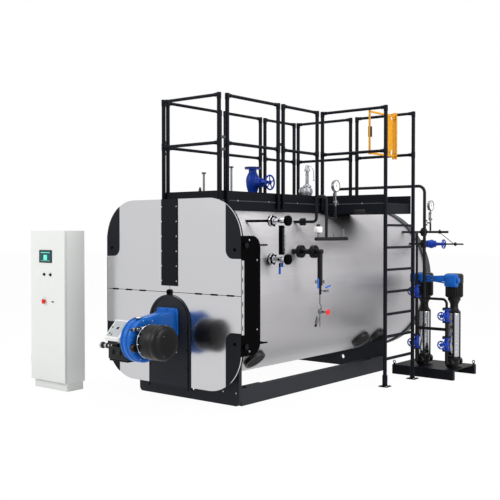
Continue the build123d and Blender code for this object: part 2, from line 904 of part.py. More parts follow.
joint_y0 = rail_joint_y - joint_gap / 2
joint_y1 = rail_joint_y + joint_gap / 2
side_start_y = catwalk_front_y + rail_corner
side_end_y = landing_front_y - rail_corner - running

with BuildPart() as railing_front:
    rail_panel(
        (-catwalk_half + tube_r / 2, catwalk_front_y),
        (catwalk_half - tube_r / 2, catwalk_front_y),
        post_foot_z,
        post_foot_z,
    )
railing_front.part.label = "railing_front"

with BuildPart() as railing_right:
    x = catwalk_rail_x
    rail_panel((x, side_start_y), (x, joint_y0), post_foot_z, post_foot_z)
    rail_panel((x, joint_y1), (x, side_end_y), post_foot_z, post_foot_z)
railing_right.part.label = "railing_right"

with BuildPart() as railing_left:
    x = -catwalk_rail_x
    rail_panel((x, side_start_y), (x, joint_y0), post_foot_z, post_foot_z)
    rail_panel((x, joint_y1), (x, side_end_y), post_foot_z, post_foot_z)
    rail_panel((x, side_end_y + joint_gap), (x, landing_y1 - tube_r), post_foot_z, post_foot_z)
railing_left.part.label = "railing_left"

with BuildPart() as railing_landing:
    rail_panel(
        (catwalk_rail_x + running, landing_front_y),
        (ladder_x, landing_front_y),
        post_foot_z,
        stile_top_z,
    )
railing_landing.part.label = "railing_landing"

with BuildPart() as railing_rear:
    rail_panel(
        (-catwalk_half + tube_r, landing_rear_y),
        (rear_joint_x - joint_gap / 2, landing_rear_y),
        post_foot_z,
        post_foot_z,
    )
    rail_panel(
        (rear_joint_x + joint_gap / 2, landing_rear_y),
        (ladder_x, landing_rear_y),
        post_foot_z,
        stile_top_z,
    )
railing_rear.part.label = "railing_rear"

with BuildPart() as ladder:
    half_plate = foot_plate / 2
    for y in (landing_front_y, landing_rear_y):
        block(ladder_x - half_plate, ladder_x + half_plate, y - half_plate, y + half_plate, 0, foot_plate_t)
        rod((ladder_x, y, foot_plate_t), (ladder_x, y, stile_top_z), stile_r)
        rod((ladder_x, y, foot_plate_t), (ladder_x, y, foot_plate_t + stile_socket_h), stile_socket_r)
    for step in range(rung_count):
        z = rung_first_z + step * rung_pitch
        block(
            ladder_x - rung_half,
            ladder_x + rung_half,
            landing_front_y,
            landing_rear_y,
            z - rung_half,
            z + rung_half,
        )
ladder.part.label = "ladder"

# Self-closing gate between the ladder and the landing

gate_far_y = landing_front_y + tube_r + running + gate_tube_r
channel_y1 = landing_rear_y - rail_r
channel_y0 = channel_y1 - gate_channel_d
gate_knuckle_r = 2 * gate_pin_r
gate_lug_drop = 3 * gate_tube_r

with BuildPart() as gate_channel:
    block(
        gate_x - gate_channel_w / 2,
        gate_x + gate_channel_w / 2,
        channel_y0,
        channel_y1,
        gate_bottom_z - gate_lug_drop,
        rail_top_z + tube_r,
    )
    for z in (gate_bottom_z, gate_top_z):
        with BuildSketch(Plane.XY.offset(z - gate_lug_drop)) as lug:
            with Locations((gate_x, gate_pin_y)):
                Circle(gate_knuckle_r)
            with Locations((gate_x, (gate_pin_y + channel_y0) / 2)):
                Rectangle(2 * gate_knuckle_r, channel_y0 - gate_pin_y)
        extrude(lug.sketch, amount=gate_tube_r)
        rod(
            (gate_x, gate_pin_y, z - 2 * gate_tube_r),
            (gate_x, gate_pin_y, z + 2 * gate_tube_r),
            gate_pin_r,
        )
gate_channel.part.label = "gate_channel"

with BuildPart() as gate:
    plate_y1 = gate_pin_y - gate_knuckle_r - 2 * gate_tube_r
    for z in (gate_bottom_z, gate_top_z):
        tube(
            (gate_x, gate_pin_y, z - gate_tube_r),
            (gate_x, gate_pin_y, z + gate_tube_r),
            gate_knuckle_r,
            gate_pin_r + pin_play,
        )
        rod((gate_x, gate_pin_y - gate_pin_r - gate_plate_t, z), (gate_x, gate_far_y, z), gate_tube_r)
    rod(
        (gate_x, gate_far_y, gate_bottom_z - gate_tube_r - post_cap_h),
        (gate_x, gate_far_y, gate_top_z + gate_tube_r + post_cap_h),
        gate_tube_r,
    )
    block(
        gate_x - gate_plate_t / 2,
        gate_x + gate_plate_t / 2,
        plate_y1 - gate_plate_l,
        plate_y1,
        gate_bottom_z,
        gate_top_z,
    )
gate.part.label = "gate"

# Nozzles and vents on the boiler's top

with BuildPart() as top_nozzles:
    rod((0, steam_y, axis_z), (0, steam_y, steam_foot_z - steam_flange_t), steam_body_r)
    rod(
        (0, steam_y, steam_foot_z - 2 * steam_flange_t),
        (0, steam_y, steam_foot_z - steam_flange_t),
        steam_flange_r,
    )
    for y, rise in zip(vent_ys, vent_rises):
        top = shell_top_z + rise
        rod((0, y, axis_z), (0, y, top), vent_r)
        rod((0, y, top), (0, y, top + vent_cap_h), vent_cap_r)
    cut_to_shell()
top_nozzles.part.label = "top_nozzles"

# Main steam stop valve: upright body, bonnet and spindle to the right

bonnet_x0 = steam_body_r + steam_bonnet_l
spindle_end_x = steam_wheel_x - steam_stem_back - seat

with BuildPart() as steam_valve:
    rod((0, steam_y, steam_foot_z - steam_flange_t), (0, steam_y, steam_foot_z), steam_flange_r)
    rod((0, steam_y, steam_foot_z), (0, steam_y, steam_top_z - steam_flange_t), steam_neck_r)
    rod((0, steam_y, steam_top_z - steam_flange_t), (0, steam_y, steam_top_z), steam_flange_r)
    with Locations((0, steam_y, steam_center_z)):
        Sphere(steam_body_r)
    rod((0, steam_y, steam_center_z), (bonnet_x0, steam_y, steam_center_z), steam_bonnet_r)
    rod(
        (bonnet_x0, steam_y, steam_center_z),
        (bonnet_x0 + steam_flange_t, steam_y, steam_center_z),
        steam_bonnet_flange_r,
    )
    rod(
        (bonnet_x0 + steam_flange_t, steam_y, steam_center_z),
        (spindle_end_x, steam_y, steam_center_z),
        steam_gland_r,
    )
    with Locations(Plane(origin=(0, steam_y, steam_top_z))):
        Hole(steam_bore_r, depth=steam_bore_l)
        with PolarLocations(steam_bolt_pcd / 2, steam_bolts, start_angle=180 / steam_bolts):
            Hole(steam_bolt_hole_r, depth=steam_flange_t)
steam_valve.part.label = "steam_valve"

with BuildPart() as steam_wheel:
    hand_wheel((steam_wheel_x, steam_y, steam_center_z), (1, 0, 0), steam_wheel_r, steam_wheel_rim)
    rod(
        (steam_wheel_x - steam_stem_back, steam_y, steam_center_z),
        (steam_wheel_x + steam_wheel_rim, steam_y, steam_center_z),
        steam_stem_r,
    )
steam_wheel.part.label = "steam_wheel"

safety_outlet_z = deck_z + safety_outlet_h

with BuildPart() as safety_valve:
    rod((0, safety_y, axis_z), (0, safety_y, safety_outlet_z), safety_neck_r)
    rod((0, safety_y, deck_z), (0, safety_y, deck_z + steam_flange_t), safety_body_r)
    rod(
        (0, safety_y, safety_outlet_z - safety_barrel_half),
        (0, safety_y, safety_outlet_z + safety_barrel_half),
        safety_barrel_r,
    )
    rod((0, safety_y, safety_outlet_z), (safety_body_r, safety_y, safety_outlet_z), safety_outlet_r)
    rod((0, safety_y, safety_outlet_z), (0, safety_y, safety_top_z - safety_cap_h), safety_bonnet_r)
    rod((0, safety_y, safety_top_z - safety_cap_h), (0, safety_y, safety_top_z), safety_cap_r)
    block(
        -safety_cap_r,
        safety_lever_l,
        safety_y - safety_lever_t,
        safety_y + safety_lever_t,
        safety_top_z - safety_cap_h,
        safety_top_z - safety_cap_h + 2 * safety_lever_t,
    )
    cut_to_shell()
safety_valve.part.label = "safety_valve"

# Level gauge on two flanged stubs

with BuildPart() as level_gauge:
    for z in (gauge_upper_z, gauge_lower_z):
        rod((shell_inner_r / 2, gauge_y, z), (gauge_flange_x, gauge_y, z), gauge_stub_r)
        rod((gauge_flange_x, gauge_y, z), (gauge_flange_x + gauge_flange_l, gauge_y, z), gauge_flange_r)
        rod((gauge_flange_x, gauge_y, z), (gauge_far_x, gauge_y, z), gauge_arm_r)
        rod((gauge_far_x - gauge_cap_l, gauge_y, z), (gauge_far_x, gauge_y, z), gauge_cap_r)
    cut_to_shell()
level_gauge.part.label = "level_gauge"

with BuildPart() as gauge_glass:
    block(
        gauge_body_x - gauge_body_half,
        gauge_body_x + gauge_body_half,
        gauge_y - gauge_body_half,
        gauge_y + gauge_body_half,
        gauge_lower_z + gauge_arm_r + seat,
        gauge_upper_z - gauge_arm_r - seat,
    )
gauge_glass.part.label = "gauge_glass"

# Pressure take-off: a siphon pipe to a small header with a transmitter and two gauges

nipple_top_z = header_z + nipple_l

with BuildPart() as pressure_pipe:
    bent_pipe(
        [
            (shell_inner_r / 2, header_y, header_pipe_z),
            (header_riser_x, header_y, header_pipe_z),
            (header_riser_x, header_y, header_top_z),
            (header_x, header_y, header_top_z),
            (header_x, header_y, header_z),
        ],
        header_pipe_r,
        header_bend_r,
    )
    rod(
        (header_flange_x - header_flange_l, header_y, header_pipe_z),
        (header_flange_x, header_y, header_pipe_z),
        header_flange_r,
    )
    rod(
        (header_x, header_y - header_front_l, header_z),
        (header_x, header_y + header_rear_l, header_z),
        header_r,
    )
    for place in header_nipples:
        y = header_y + place
        rod((header_x, y, header_z), (header_x, y, nipple_top_z), nipple_r)
    cut_to_shell()
pressure_pipe.part.label = "pressure_pipe"

with BuildPart() as transmitter:
    y = header_y + header_nipples[0]
    block(
        header_x - transmitter_half,
        header_x + transmitter_half,
        y - transmitter_half,
        y + transmitter_half,
        nipple_top_z,
        nipple_top_z + transmitter_h,
    )
    rod(
        (header_x, y, nipple_top_z + transmitter_h),
        (header_x, y, nipple_top_z + transmitter_h + transmitter_cap_h),
        transmitter_cap_r,
    )
transmitter.part.label = "transmitter"

with BuildPart() as pressure_gauges:
    branch_y = header_y + header_pipe_r + seat
    rod((header_x, dial_y, branch_z), (header_x, dial_y, dial_z), dial_stem_r)
    rod((header_x, branch_y, branch_z), (header_x, dial_y, branch_z), dial_stem_r)
    rod((header_x - dial_t / 2, dial_y, dial_z), (header_x + dial_t / 2, dial_y, dial_z), dial_r)
    rod(
        (rear_dial_x, rear_y, rear_upper_z + rear_pipe_r + seat),
        (rear_dial_x, rear_y, rear_dial_z),
        dial_stem_r,
    )
    rod((rear_dial_x - dial_t / 2, rear_y, rear_dial_z), (rear_dial_x + dial_t / 2, rear_y, rear_dial_z), dial_r)
pressure_gauges.part.label = "pressure_gauges"

# Water column with its drain cock

drain_wheel_x = column_x + drain_wheel_reach

with BuildPart() as water_column:
    rod((shell_inner_r, column_y, column_z), (column_x, column_y, column_z), column_r)
    for x in (column_flange_x, column_x - 2 * column_r - column_flange_l):
        rod((x, column_y, column_z), (x + column_flange_l, column_y, column_z), column_flange_r)
    rod((column_x, column_y, column_foot_z), (column_x, column_y, column_z + column_r), column_r)
    rod((column_x, column_y, drain_foot_z), (column_x, column_y, column_foot_z), drain_r)
    rod(
        (column_x, column_y, drain_valve_z - column_r),
        (column_x, column_y, drain_valve_z + column_r),
        drain_body_r,
    )
    rod(
        (column_x, column_y, drain_valve_z),
        (drain_wheel_x - drain_wheel_rim - seat, column_y, drain_valve_z),
        drain_r,
    )
    cut_to_shell()
water_column.part.label = "water_column"

with BuildPart() as drain_wheel:
    hand_wheel((drain_wheel_x, column_y, drain_valve_z), (1, 0, 0), drain_wheel_r, drain_wheel_rim)
    rod(
        (drain_wheel_x - drain_wheel_rim, column_y, drain_valve_z),
        (drain_wheel_x + drain_wheel_rim, column_y, drain_valve_z),
        drain_wheel_rim,
    )
drain_wheel.part.label = "drain_wheel"

# Fittings at the rear right: an upper stub with its feed line from the left pump, and a lower stop valve

rear_spindle_x = rear_wheel_x - rear_stem_back - seat

with BuildPart() as rear_valves:
    for z, end_x in ((rear_upper_z, rear_upper_end_x), (rear_lower_z, rear_spindle_x)):
        rod((shell_inner_r / 2, rear_y, z), (end_x, rear_y, z), rear_pipe_r)
        rod((rear_flange_x, rear_y, z), (rear_flange_x + rear_flange_l, rear_y, z), rear_flange_r)
    rod(
        (rear_valve_x - rear_valve_half, rear_y, rear_lower_z),
        (rear_valve_x + rear_valve_half, rear_y, rear_lower_z),
        rear_valve_r,
    )
    bent_pipe(
        [
            (pump_xs[0], valve_line_y, high_valve_tops[0]),
            (pump_xs[0], valve_line_y, rear_upper_z),
            (rear_feed_x, rear_y, rear_upper_z),
        ],
        rear_feed_r,
        feed_bend_r,
    )
    cut_to_shell()
rear_valves.part.label = "rear_valves"

with BuildPart() as rear_wheel:
    hand_wheel((rear_wheel_x, rear_y, rear_lower_z), (1, 0, 0), rear_wheel_r, rear_wheel_rim)
    rod(
        (rear_wheel_x - rear_stem_back, rear_y, rear_lower_z),
        (rear_wheel_x + rear_stem_ahead, rear_y, rear_lower_z),
        rear_stem_r,
    )
rear_wheel.part.label = "rear_wheel"

# Feed line: from the right pump to the riser, over the boiler and down into its top

with BuildPart() as feed_pipe:
    bent_pipe(
        [
            (pump_xs[1], valve_line_y, high_valve_tops[1]),
            (pump_xs[1], valve_line_y, bridge_z),
            (riser_x, valve_line_y, bridge_z),
        ],
        feed_branch_r,
        feed_bend_r,
    )
    bent_pipe(
        [
            (riser_x, valve_line_y, bridge_z - 2 * feed_r),
            (riser_x, valve_line_y, feed_z),
            (0, valve_line_y, feed_z),
            (0, valve_line_y, axis_z),
        ],
        feed_r,
        riser_bend_r,
    )
    cut_to_shell()
feed_pipe.part.label = "feed_pipe"

# Feed pump set on its own skid

with BuildPart() as pump_skid:
    block(skid_x0, skid_x1, skid_y0, skid_y1, skid_h - skid_plate_t, skid_h)
    for y in (skid_y0, skid_y1 - skid_channel_w):
        block(skid_x0, skid_x1, y, y + skid_channel_w, 0, skid_h)
pump_skid.part.label = "pump_skid"

with BuildPart() as pump_feet:
    for x in pump_xs:
        rod((x, pump_y, skid_h), (x, pump_y, pump_stack_z), pump_foot_r)
        rod((x, pump_y - pump_port_l, pump_port_z), (x, pump_y + pump_port_l, pump_port_z), pump_port_r)
pump_feet.part.label = "pump_feet"

with BuildPart() as pump_stacks:
    for x in pump_xs:
        rod((x, pump_y, pump_stack_z), (x, pump_y, pump_neck_z), pump_stack_r)
pump_stacks.part.label = "pump_stacks"

with BuildPart() as pump_motors:
    for x in pump_xs:
        rod((x, pump_y, pump_neck_z), (x, pump_y, pump_motor_z), pump_neck_r)
        rod((x, pump_y, pump_motor_z), (x, pump_y, pump_top_z), pump_motor_r)
pump_motors.part.label = "pump_motors"

with BuildPart() as pump_drives:
    drive_y1 = pump_y - pump_motor_r - seat
    for x, height in zip(drive_xs, drive_hs):
        block(x - drive_half_w, x + drive_half_w, drive_y1 - drive_d, drive_y1, pump_top_z - height, pump_top_z)
    arm_y1 = drive_y1 - drive_d / 2
    arm_z = pump_top_z - drive_hs[0] / 2
    block(
        drive_xs[0] + drive_half_w,
        drive_xs[1] - drive_half_w,
        arm_y1 - drive_arm_t,
        arm_y1,
        arm_z - drive_arm_h / 2,
        arm_z + drive_arm_h / 2,
    )
pump_drives.part.label = "pump_drives"

with BuildPart() as pump_pipes:
    for x, high in zip(pump_xs, valve_high_zs):
        rod((x, valve_line_y, pump_port_z), (x, valve_line_y, valve_low_z - valve_half_l), feed_r)
        rod((x, valve_line_y, valve_low_z + valve_half_l), (x, valve_line_y, high - valve_half_l), feed_r)
        rod((x, valve_line_y, pump_port_z), (x, pump_y - pump_port_l, pump_port_z), feed_r)
    rod((pump_xs[0], valve_line_y, cross_pipe_z), (pump_xs[1], valve_line_y, cross_pipe_z), feed_r)
pump_pipes.part.label = "pump_pipes"

wheel_y = valve_line_y - valve_wheel_reach

with BuildPart() as gate_valves:
    for x, high in zip(pump_xs, valve_high_zs):
        for z in (valve_low_z, high):
            rod((x, valve_line_y, z - valve_half_l), (x, valve_line_y, z + valve_half_l), valve_body_r)
            for flange_z in (z - valve_half_l, z + valve_half_l - valve_flange_t):
                rod((x, valve_line_y, flange_z), (x, valve_line_y, flange_z + valve_flange_t), valve_flange_r)
            rod((x, valve_line_y, z), (x, wheel_y + valve_stem_back + seat, z), valve_bonnet_r)
gate_valves.part.label = "gate_valves"

wheel_spots = [(x, z) for x, high in zip(pump_xs, valve_high_zs) for z in (valve_low_z, high)]
wheel_names = ("wheel_a_low", "wheel_a_high", "wheel_b_low", "wheel_b_high")
for name, (x, z) in zip(wheel_names, wheel_spots):
    with BuildPart() as pump_wheel:
        hand_wheel((x, wheel_y, z), (0, 1, 0), valve_wheel_r, valve_wheel_rim)
        rod((x, wheel_y - valve_wheel_rim, z), (x, wheel_y + valve_stem_back, z), valve_stem_r)
    pump_wheel.part.label = name
    export_step(pump_wheel.part, f"parts/{name}.step")

# Control cabinet with a hinged front door

cabinet_x1 = cabinet_x0 + cabinet_w
cabinet_y1 = cabinet_y0 + cabinet_d
body_y0 = cabinet_y0 + door_t + door_gap
hinge_x = cabinet_x0 - door_hinge_out
hinge_y = cabinet_y0 + door_t / 2
hinge_zs = (plinth_h + door_hinge_inset, cabinet_h - door_hinge_inset)

with BuildPart() as cabinet_body:
    block(cabinet_x0, cabinet_x1, body_y0, cabinet_y1, plinth_h, cabinet_h)
    block(
        cabinet_x0 + cabinet_wall,
        cabinet_x1 - cabinet_wall,
        body_y0,
        cabinet_y1 - cabinet_wall,
        plinth_h + cabinet_wall,
        cabinet_h - cabinet_wall,
        mode=Mode.SUBTRACT,
    )
    block(
        cabinet_x0 + plinth_inset,
        cabinet_x1 - plinth_inset,
        body_y0 + plinth_inset,
        cabinet_y1 - plinth_inset,
        0,
        plinth_h,
    )
    for z in hinge_zs:
        foot_z = z - door_knuckle_h
        strap_y1 = body_y0 + 2 * door_knuckle_r
        rod((hinge_x, hinge_y, foot_z), (hinge_x, hinge_y, z), door_knuckle_r)
        rod((hinge_x, hinge_y, z), (hinge_x, hinge_y, z + door_knuckle_h), door_pin_r)
        block(hinge_x - door_pin_r, hinge_x, hinge_y, strap_y1, foot_z, z)
        block(hinge_x - door_pin_r, cabinet_x0, body_y0, strap_y1, foot_z, z)
cabinet_body.part.label = "cabinet_body"

with BuildPart() as cabinet_door:
    block(cabinet_x0, cabinet_x1, cabinet_y0, cabinet_y0 + door_t, plinth_h + door_gap, cabinet_h)
    for z in hinge_zs:
        knuckle_z0 = z + seat
        knuckle_z1 = z + door_knuckle_h
        rod((hinge_x, hinge_y, knuckle_z0), (hinge_x, hinge_y, knuckle_z1), door_knuckle_r)
        block(hinge_x, cabinet_x0, cabinet_y0 + door_pin_r, hinge_y, knuckle_z0, knuckle_z1)
        with Locations((hinge_x, hinge_y, (knuckle_z0 + knuckle_z1) / 2)):
            Cylinder(door_pin_r + pin_play, 2 * door_knuckle_h, mode=Mode.SUBTRACT)
cabinet_door.part.label = "cabinet_door"

pieces = [
    front_saddle,
    rear_saddle,
    base_beams,
    jacket,
    rear_collar,
    rear_end,
    rear_door,
    flue_outlet,
    front_frame,
    upper_sheets,
    lower_sheets,
    centre_strip,
    burner_plate,
    corner_plates,
    side_plates,
    burner_duct,
    fan_housing,
    fan_motor,
    gas_valve,
    burner_desk,
    handholes,
    platform_frame,
    platform_deck,
    toe_boards,
    railing_front,
    railing_right,
    railing_left,
    railing_landing,
    railing_rear,
    ladder,
    gate_channel,
    gate,
    top_nozzles,
    steam_valve,
    steam_wheel,
    safety_valve,
    level_gauge,
    gauge_glass,
    pressure_pipe,
    transmitter,
    pressure_gauges,
    water_column,
    drain_wheel,
    rear_valves,
    rear_wheel,
    feed_pipe,
    pump_skid,
    pump_feet,
    pump_stacks,
    pump_motors,
    pump_drives,
    pump_pipes,
    gate_valves,
    cabinet_body,
    cabinet_door,
]
for piece in pieces:
    export_step(piece.part, f"parts/{piece.part.label}.step")
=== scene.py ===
"""Studio scene of an industrial boiler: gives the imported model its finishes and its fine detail.

Everything is in metres in the model's own frame: +Y runs from the burner to the rear, +Z is up and +X is to the
right as seen from the burner.
"""

import logging
import math
from dataclasses import dataclass, field
from enum import Enum
from typing import Any, Sequence

import bmesh
import bpy
import numpy as np
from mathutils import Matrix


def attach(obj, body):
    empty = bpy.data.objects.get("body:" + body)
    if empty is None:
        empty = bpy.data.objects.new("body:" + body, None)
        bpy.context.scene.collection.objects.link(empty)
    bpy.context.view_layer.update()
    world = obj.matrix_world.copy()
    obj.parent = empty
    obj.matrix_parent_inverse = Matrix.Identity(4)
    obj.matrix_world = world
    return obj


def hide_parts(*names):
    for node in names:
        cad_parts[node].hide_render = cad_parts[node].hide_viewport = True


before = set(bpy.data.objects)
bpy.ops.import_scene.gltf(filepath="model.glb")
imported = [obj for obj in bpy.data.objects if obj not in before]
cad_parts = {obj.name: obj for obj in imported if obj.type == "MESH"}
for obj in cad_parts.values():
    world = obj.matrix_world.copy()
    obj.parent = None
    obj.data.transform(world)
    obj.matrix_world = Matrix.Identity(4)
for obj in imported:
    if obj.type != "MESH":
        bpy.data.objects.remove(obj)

log = logging.getLogger("boiler_scene")
Points = np.ndarray
Vec = tuple[float, float, float]

X_AXIS: Vec = (1.0, 0.0, 0.0)
Y_AXIS: Vec = (0.0, 1.0, 0.0)
Z_AXIS: Vec = (0.0, 0.0, 1.0)
FORWARD: Vec = (0.0, -1.0, 0.0)
LEFT: Vec = (-1.0, 0.0, 0.0)
DOWN: Vec = (0.0, 0.0, -1.0)
SIDES = (-1.0, 1.0)
SQUARE = np.array([(-1.0, -1.0), (-1.0, 1.0), (1.0, -1.0), (1.0, 1.0)])
AXIS_Z = 1.220
JACKET_R = 1.005
FRONT_Y = -0.2975
# Roundings of edges, from the finest to the softest
FINE, EDGE, SOFT = 0.001, 0.002, 0.003


# Finishes


class Grain(Enum):
    """How a surface was made, which sets the pattern its finish shows."""

    SMOOTH = "smooth"
    BRUSHED = "brushed"
    SPRAYED = "sprayed"
    CAST = "cast"
    TREAD = "tread"


def linear(code: str) -> tuple[float, float, float, float]:
    """Turn an sRGB hex code into linear light.

    Args:
        code: Six hex digits.

    Returns:
        Red, green, blue and an alpha of one.
    """
    parts = np.array([int(code[i : i + 2], 16) for i in (0, 2, 4)]) / 255.0
    light = np.where(parts <= 0.04045, parts / 12.92, ((parts + 0.055) / 1.055) ** 2.4)
    return (*(float(v) for v in light), 1.0)


def add_node(
    tree: Any, kind: str, settings: dict[str, Any] | None = None, links: dict[Any, Any] | None = None
) -> Any:
    """Add a node with its settings and links.

    Args:
        tree: The node tree.
        kind: Blender's node type.
        settings: Properties by name, or input values by "in:NAME" or "in:NUMBER".
        links: Output sockets by the input's name or number.

    Returns:
        The new node.
    """
    node = tree.nodes.new(kind)
    for key, value in (settings or {}).items():
        if key.startswith("in:"):
            name = key[3:]
            node.inputs[int(name) if name.isdigit() else name].default_value = value
        else:
            setattr(node, key, value)
    for key, socket in (links or {}).items():
        tree.links.new(socket, node.inputs[key])
    return node


@dataclass(frozen=True)
class Finish:
    """One real surface: what it is made of, how it was made and its typical values.

    The grain's size is in millimetres, along the object's X, Y and Z.
    """

    name: str
    color: str
    metallic: float = 0.0
    roughness: float = 0.45
    grain: Grain = Grain.SPRAYED
    grain_mm: Vec = (2.0, 2.0, 2.0)
    relief_mm: float = 0.05
    spread: float = 0.06
    shade: float = 0.06
    coat: float = 0.0
    glow: str = ""
    ior: float = 1.5
    specular: float = 0.16

    def material(self) -> Any:
        """Build the node material, or return it where it is already made.

        Returns:
            The material.
        """
        made = bpy.data.materials.get(self.name)
        if made:
            return made
        made = bpy.data.materials.new(self.name)
        made.use_nodes = True
        tree = made.node_tree
        tree.nodes.clear()
        out = add_node(tree, "ShaderNodeOutputMaterial")
        shader = add_node(
            tree,
            "ShaderNodeBsdfPrincipled",
            {"in:Metallic": self.metallic, "in:Coat Weight": self.coat, "in:Coat Roughness": 0.08},
        )
        if self.metallic < 0.5:
            shader.inputs["IOR"].default_value = self.ior
            shader.inputs["Specular IOR Level"].default_value = self.specular
        if self.glow:
            shader.inputs["Emission Color"].default_value = linear(self.glow)
            shader.inputs["Emission Strength"].default_value = 0.8
        tree.links.new(shader.outputs[0], out.inputs[0])
        place = add_node(tree, "ShaderNodeTexCoord")
        scale = tuple(1000.0 / size for size in self.grain_mm)
        turn = add_node(tree, "ShaderNodeMapping", {"in:Scale": scale}, {"Vector": place.outputs["Object"]})
        fine = add_node(
            tree,
            "ShaderNodeTexNoise",
            {"in:Scale": 1.0, "in:Detail": 5.0, "in:Roughness": 0.6},
            {"Vector": turn.outputs[0]},
        )
        wide = add_node(
            tree, "ShaderNodeTexNoise", {"in:Scale": 3.1, "in:Detail": 3.0}, {"Vector": place.outputs["Object"]}
        )
        blend = add_node(
            tree,
            "ShaderNodeMix",
            {"data_type": "FLOAT", "in:0": 0.35},
            {2: fine.outputs[0], 3: wide.outputs[0]},
        )
        low, high = max(0.02, self.roughness - self.spread), min(1.0, self.roughness + self.spread)
        rough = add_node(
            tree,
            "ShaderNodeMapRange",
            {"in:From Min": 0.3, "in:From Max": 0.7, "in:To Min": low, "in:To Max": high},
            {0: blend.outputs[0]},
        )
        tree.links.new(rough.outputs[0], shader.inputs["Roughness"])
        base = linear(self.color)
        deep = tuple(v * (1.0 - self.shade) for v in base[:3]) + (1.0,)
        tint = add_node(
            tree, "ShaderNodeMix", {"data_type": "RGBA", "in:6": deep, "in:7": base}, {0: blend.outputs[0]}
        )
        tree.links.new(tint.outputs[2], shader.inputs["Base Color"])
        height = fine.outputs[0]
        if self.grain is Grain.TREAD:
            height = self._tread(tree, place)
        if self.grain is not Grain.SMOOTH:
            bump = add_node(
                tree,
                "ShaderNodeBump",
                {"in:Strength": 0.5 if self.grain is not Grain.CAST else 0.9, "in:Distance": self.relief_mm / 1000.0},
                {"Height": height},
            )
            tree.links.new(bump.outputs[0], shader.inputs["Normal"])
        return made

    def _tread(self, tree: Any, place: Any) -> Any:
        """Raised oval studs in a staggered pattern, as on rolled tread plate.

        The height is the product of two sine waves that cross at right angles, one stud every 30 mm.

        Args:
            tree: The node tree.
            place: The texture coordinate node.

        Returns:
            The height socket.
        """
        parts = add_node(tree, "ShaderNodeSeparateXYZ", {}, {0: place.outputs["Object"]})
        waves = []
        for axis in (0, 1):
            times = {"operation": "MULTIPLY", "in:1": 105.0}
            stretched = add_node(tree, "ShaderNodeMath", times, {0: parts.outputs[axis]})
            waves.append(add_node(tree, "ShaderNodeMath", {"operation": "SINE"}, {0: stretched.outputs[0]}))
        both = add_node(
            tree, "ShaderNodeMath", {"operation": "MULTIPLY"}, {0: waves[0].outputs[0], 1: waves[1].outputs[0]}
        )
        return add_node(
            tree, "ShaderNodeMapRange", {"in:From Min": 0.2, "in:From Max": 0.5}, {0: both.outputs[0]}
        ).outputs[0]


# Sizes of grain in millimetres
ORANGE_PEEL: Vec = (2.5, 2.5, 2.5)
FINE_GRAIN: Vec = (1.5, 1.5, 1.5)
SAND_GRAIN: Vec = (4.0, 4.0, 4.0)
DROP_GRAIN: Vec = (3.0, 3.0, 3.0)
EVEN_GRAIN: Vec = (2.0, 2.0, 2.0)
BRUSHED, SPRAYED, CAST, SMOOTH = Grain.BRUSHED, Grain.SPRAYED, Grain.CAST, Grain.SMOOTH

# Rolled stainless cladding: lines along the shell and long soft reflections, coarser than the mill's 0.1 mm lines
CLADDING = Finish("brushed_stainless_cladding", "C6C4C7", 1.0, 0.50, BRUSHED, (16.0, 800.0, 16.0), 0.03, 0.07, 0.30)
# Bright annealed stainless sheet: mirrors its surroundings with a slight blur
BRIGHT_SHEET = Finish("bright_stainless_sheet", "CACACD", 1.0, 0.16, SMOOTH, (90.0, 90.0, 3.0), 0.0, 0.02, 0.02)
# Navy powder coat of saddles and burner plate: even satin with a fine orange peel
NAVY_COAT = Finish("navy_black_powder_coat", "1F222A", 0.0, 0.42, SPRAYED, ORANGE_PEEL, 0.06, 0.05, 0.1)
# Darker navy powder coat of the corner plates: satin that hardly shines
CORNER_COAT = Finish(
    "dark_navy_powder_coat", "0E1118", 0.0, 0.45, SPRAYED, ORANGE_PEEL, 0.06, 0.05, 0.1, specular=0.12
)
# Charcoal powder coat of the side beams: a lighter, dull grey
BEAM_COAT = Finish("charcoal_powder_coat", "26282E", 0.0, 0.45, SPRAYED, ORANGE_PEEL, 0.06, 0.05, 0.1)
# Flat black powder coat of the side plates: swallows nearly all light
BLACK_COAT = Finish("black_powder_coat", "020203", 0.0, 0.6, SPRAYED, ORANGE_PEEL, 0.03, 0.04, 0.1, specular=0.02)
# Black coat of the drawn rail tubes: smooth, with a thin highlight along each tube
RAIL_COAT = Finish("black_tube_coat", "0E1118", 0.0, 0.46, SMOOTH, (40.0, 40.0, 40.0), 0.0, 0.03, 0.08, specular=0.08)
# Blue-black powder coat of toe boards, strip and skid: between navy and black
EDGE_COAT = Finish("blue_black_powder_coat", "0D0F15", 0.0, 0.48, SPRAYED, ORANGE_PEEL, 0.05, 0.05, 0.1, specular=0.08)
# Slate coat of the rear end: mid grey satin, also used on the deck's edge strips, where its lighter tone paints a
# highlight
COLLAR_COAT = Finish("slate_coat", "3A3C42", 0.0, 0.45, SPRAYED, ORANGE_PEEL, 0.05, 0.05, 0.1)
# Rolled tread plate under paint: rows of raised studs that catch the light
TREAD_PLATE = Finish("painted_tread_plate", "1C1E24", 0.0, 0.48, Grain.TREAD, SAND_GRAIN, 1.5, 0.06, 0.15)
# Blue gloss enamel of the burner: deep colour under a clear skin
BURNER_BLUE = Finish("blue_gloss_enamel", "1262BC", 0.0, 0.28, SPRAYED, (5.0, 5.0, 5.0), 0.05, 0.04, 0.08, 0.12)
# Blue enamel over cast valves: the casting's skin shows through the gloss
VALVE_BLUE = Finish("blue_valve_enamel", "113AA0", 0.0, 0.32, CAST, DROP_GRAIN, 0.2, 0.05, 0.1, 0.05)
# Blue moulded covers of the drives: even, slightly softer than enamel
DRIVE_BLUE = Finish("blue_moulded_cover", "1157AC", 0.0, 0.38, SPRAYED, EVEN_GRAIN, 0.04, 0.04)
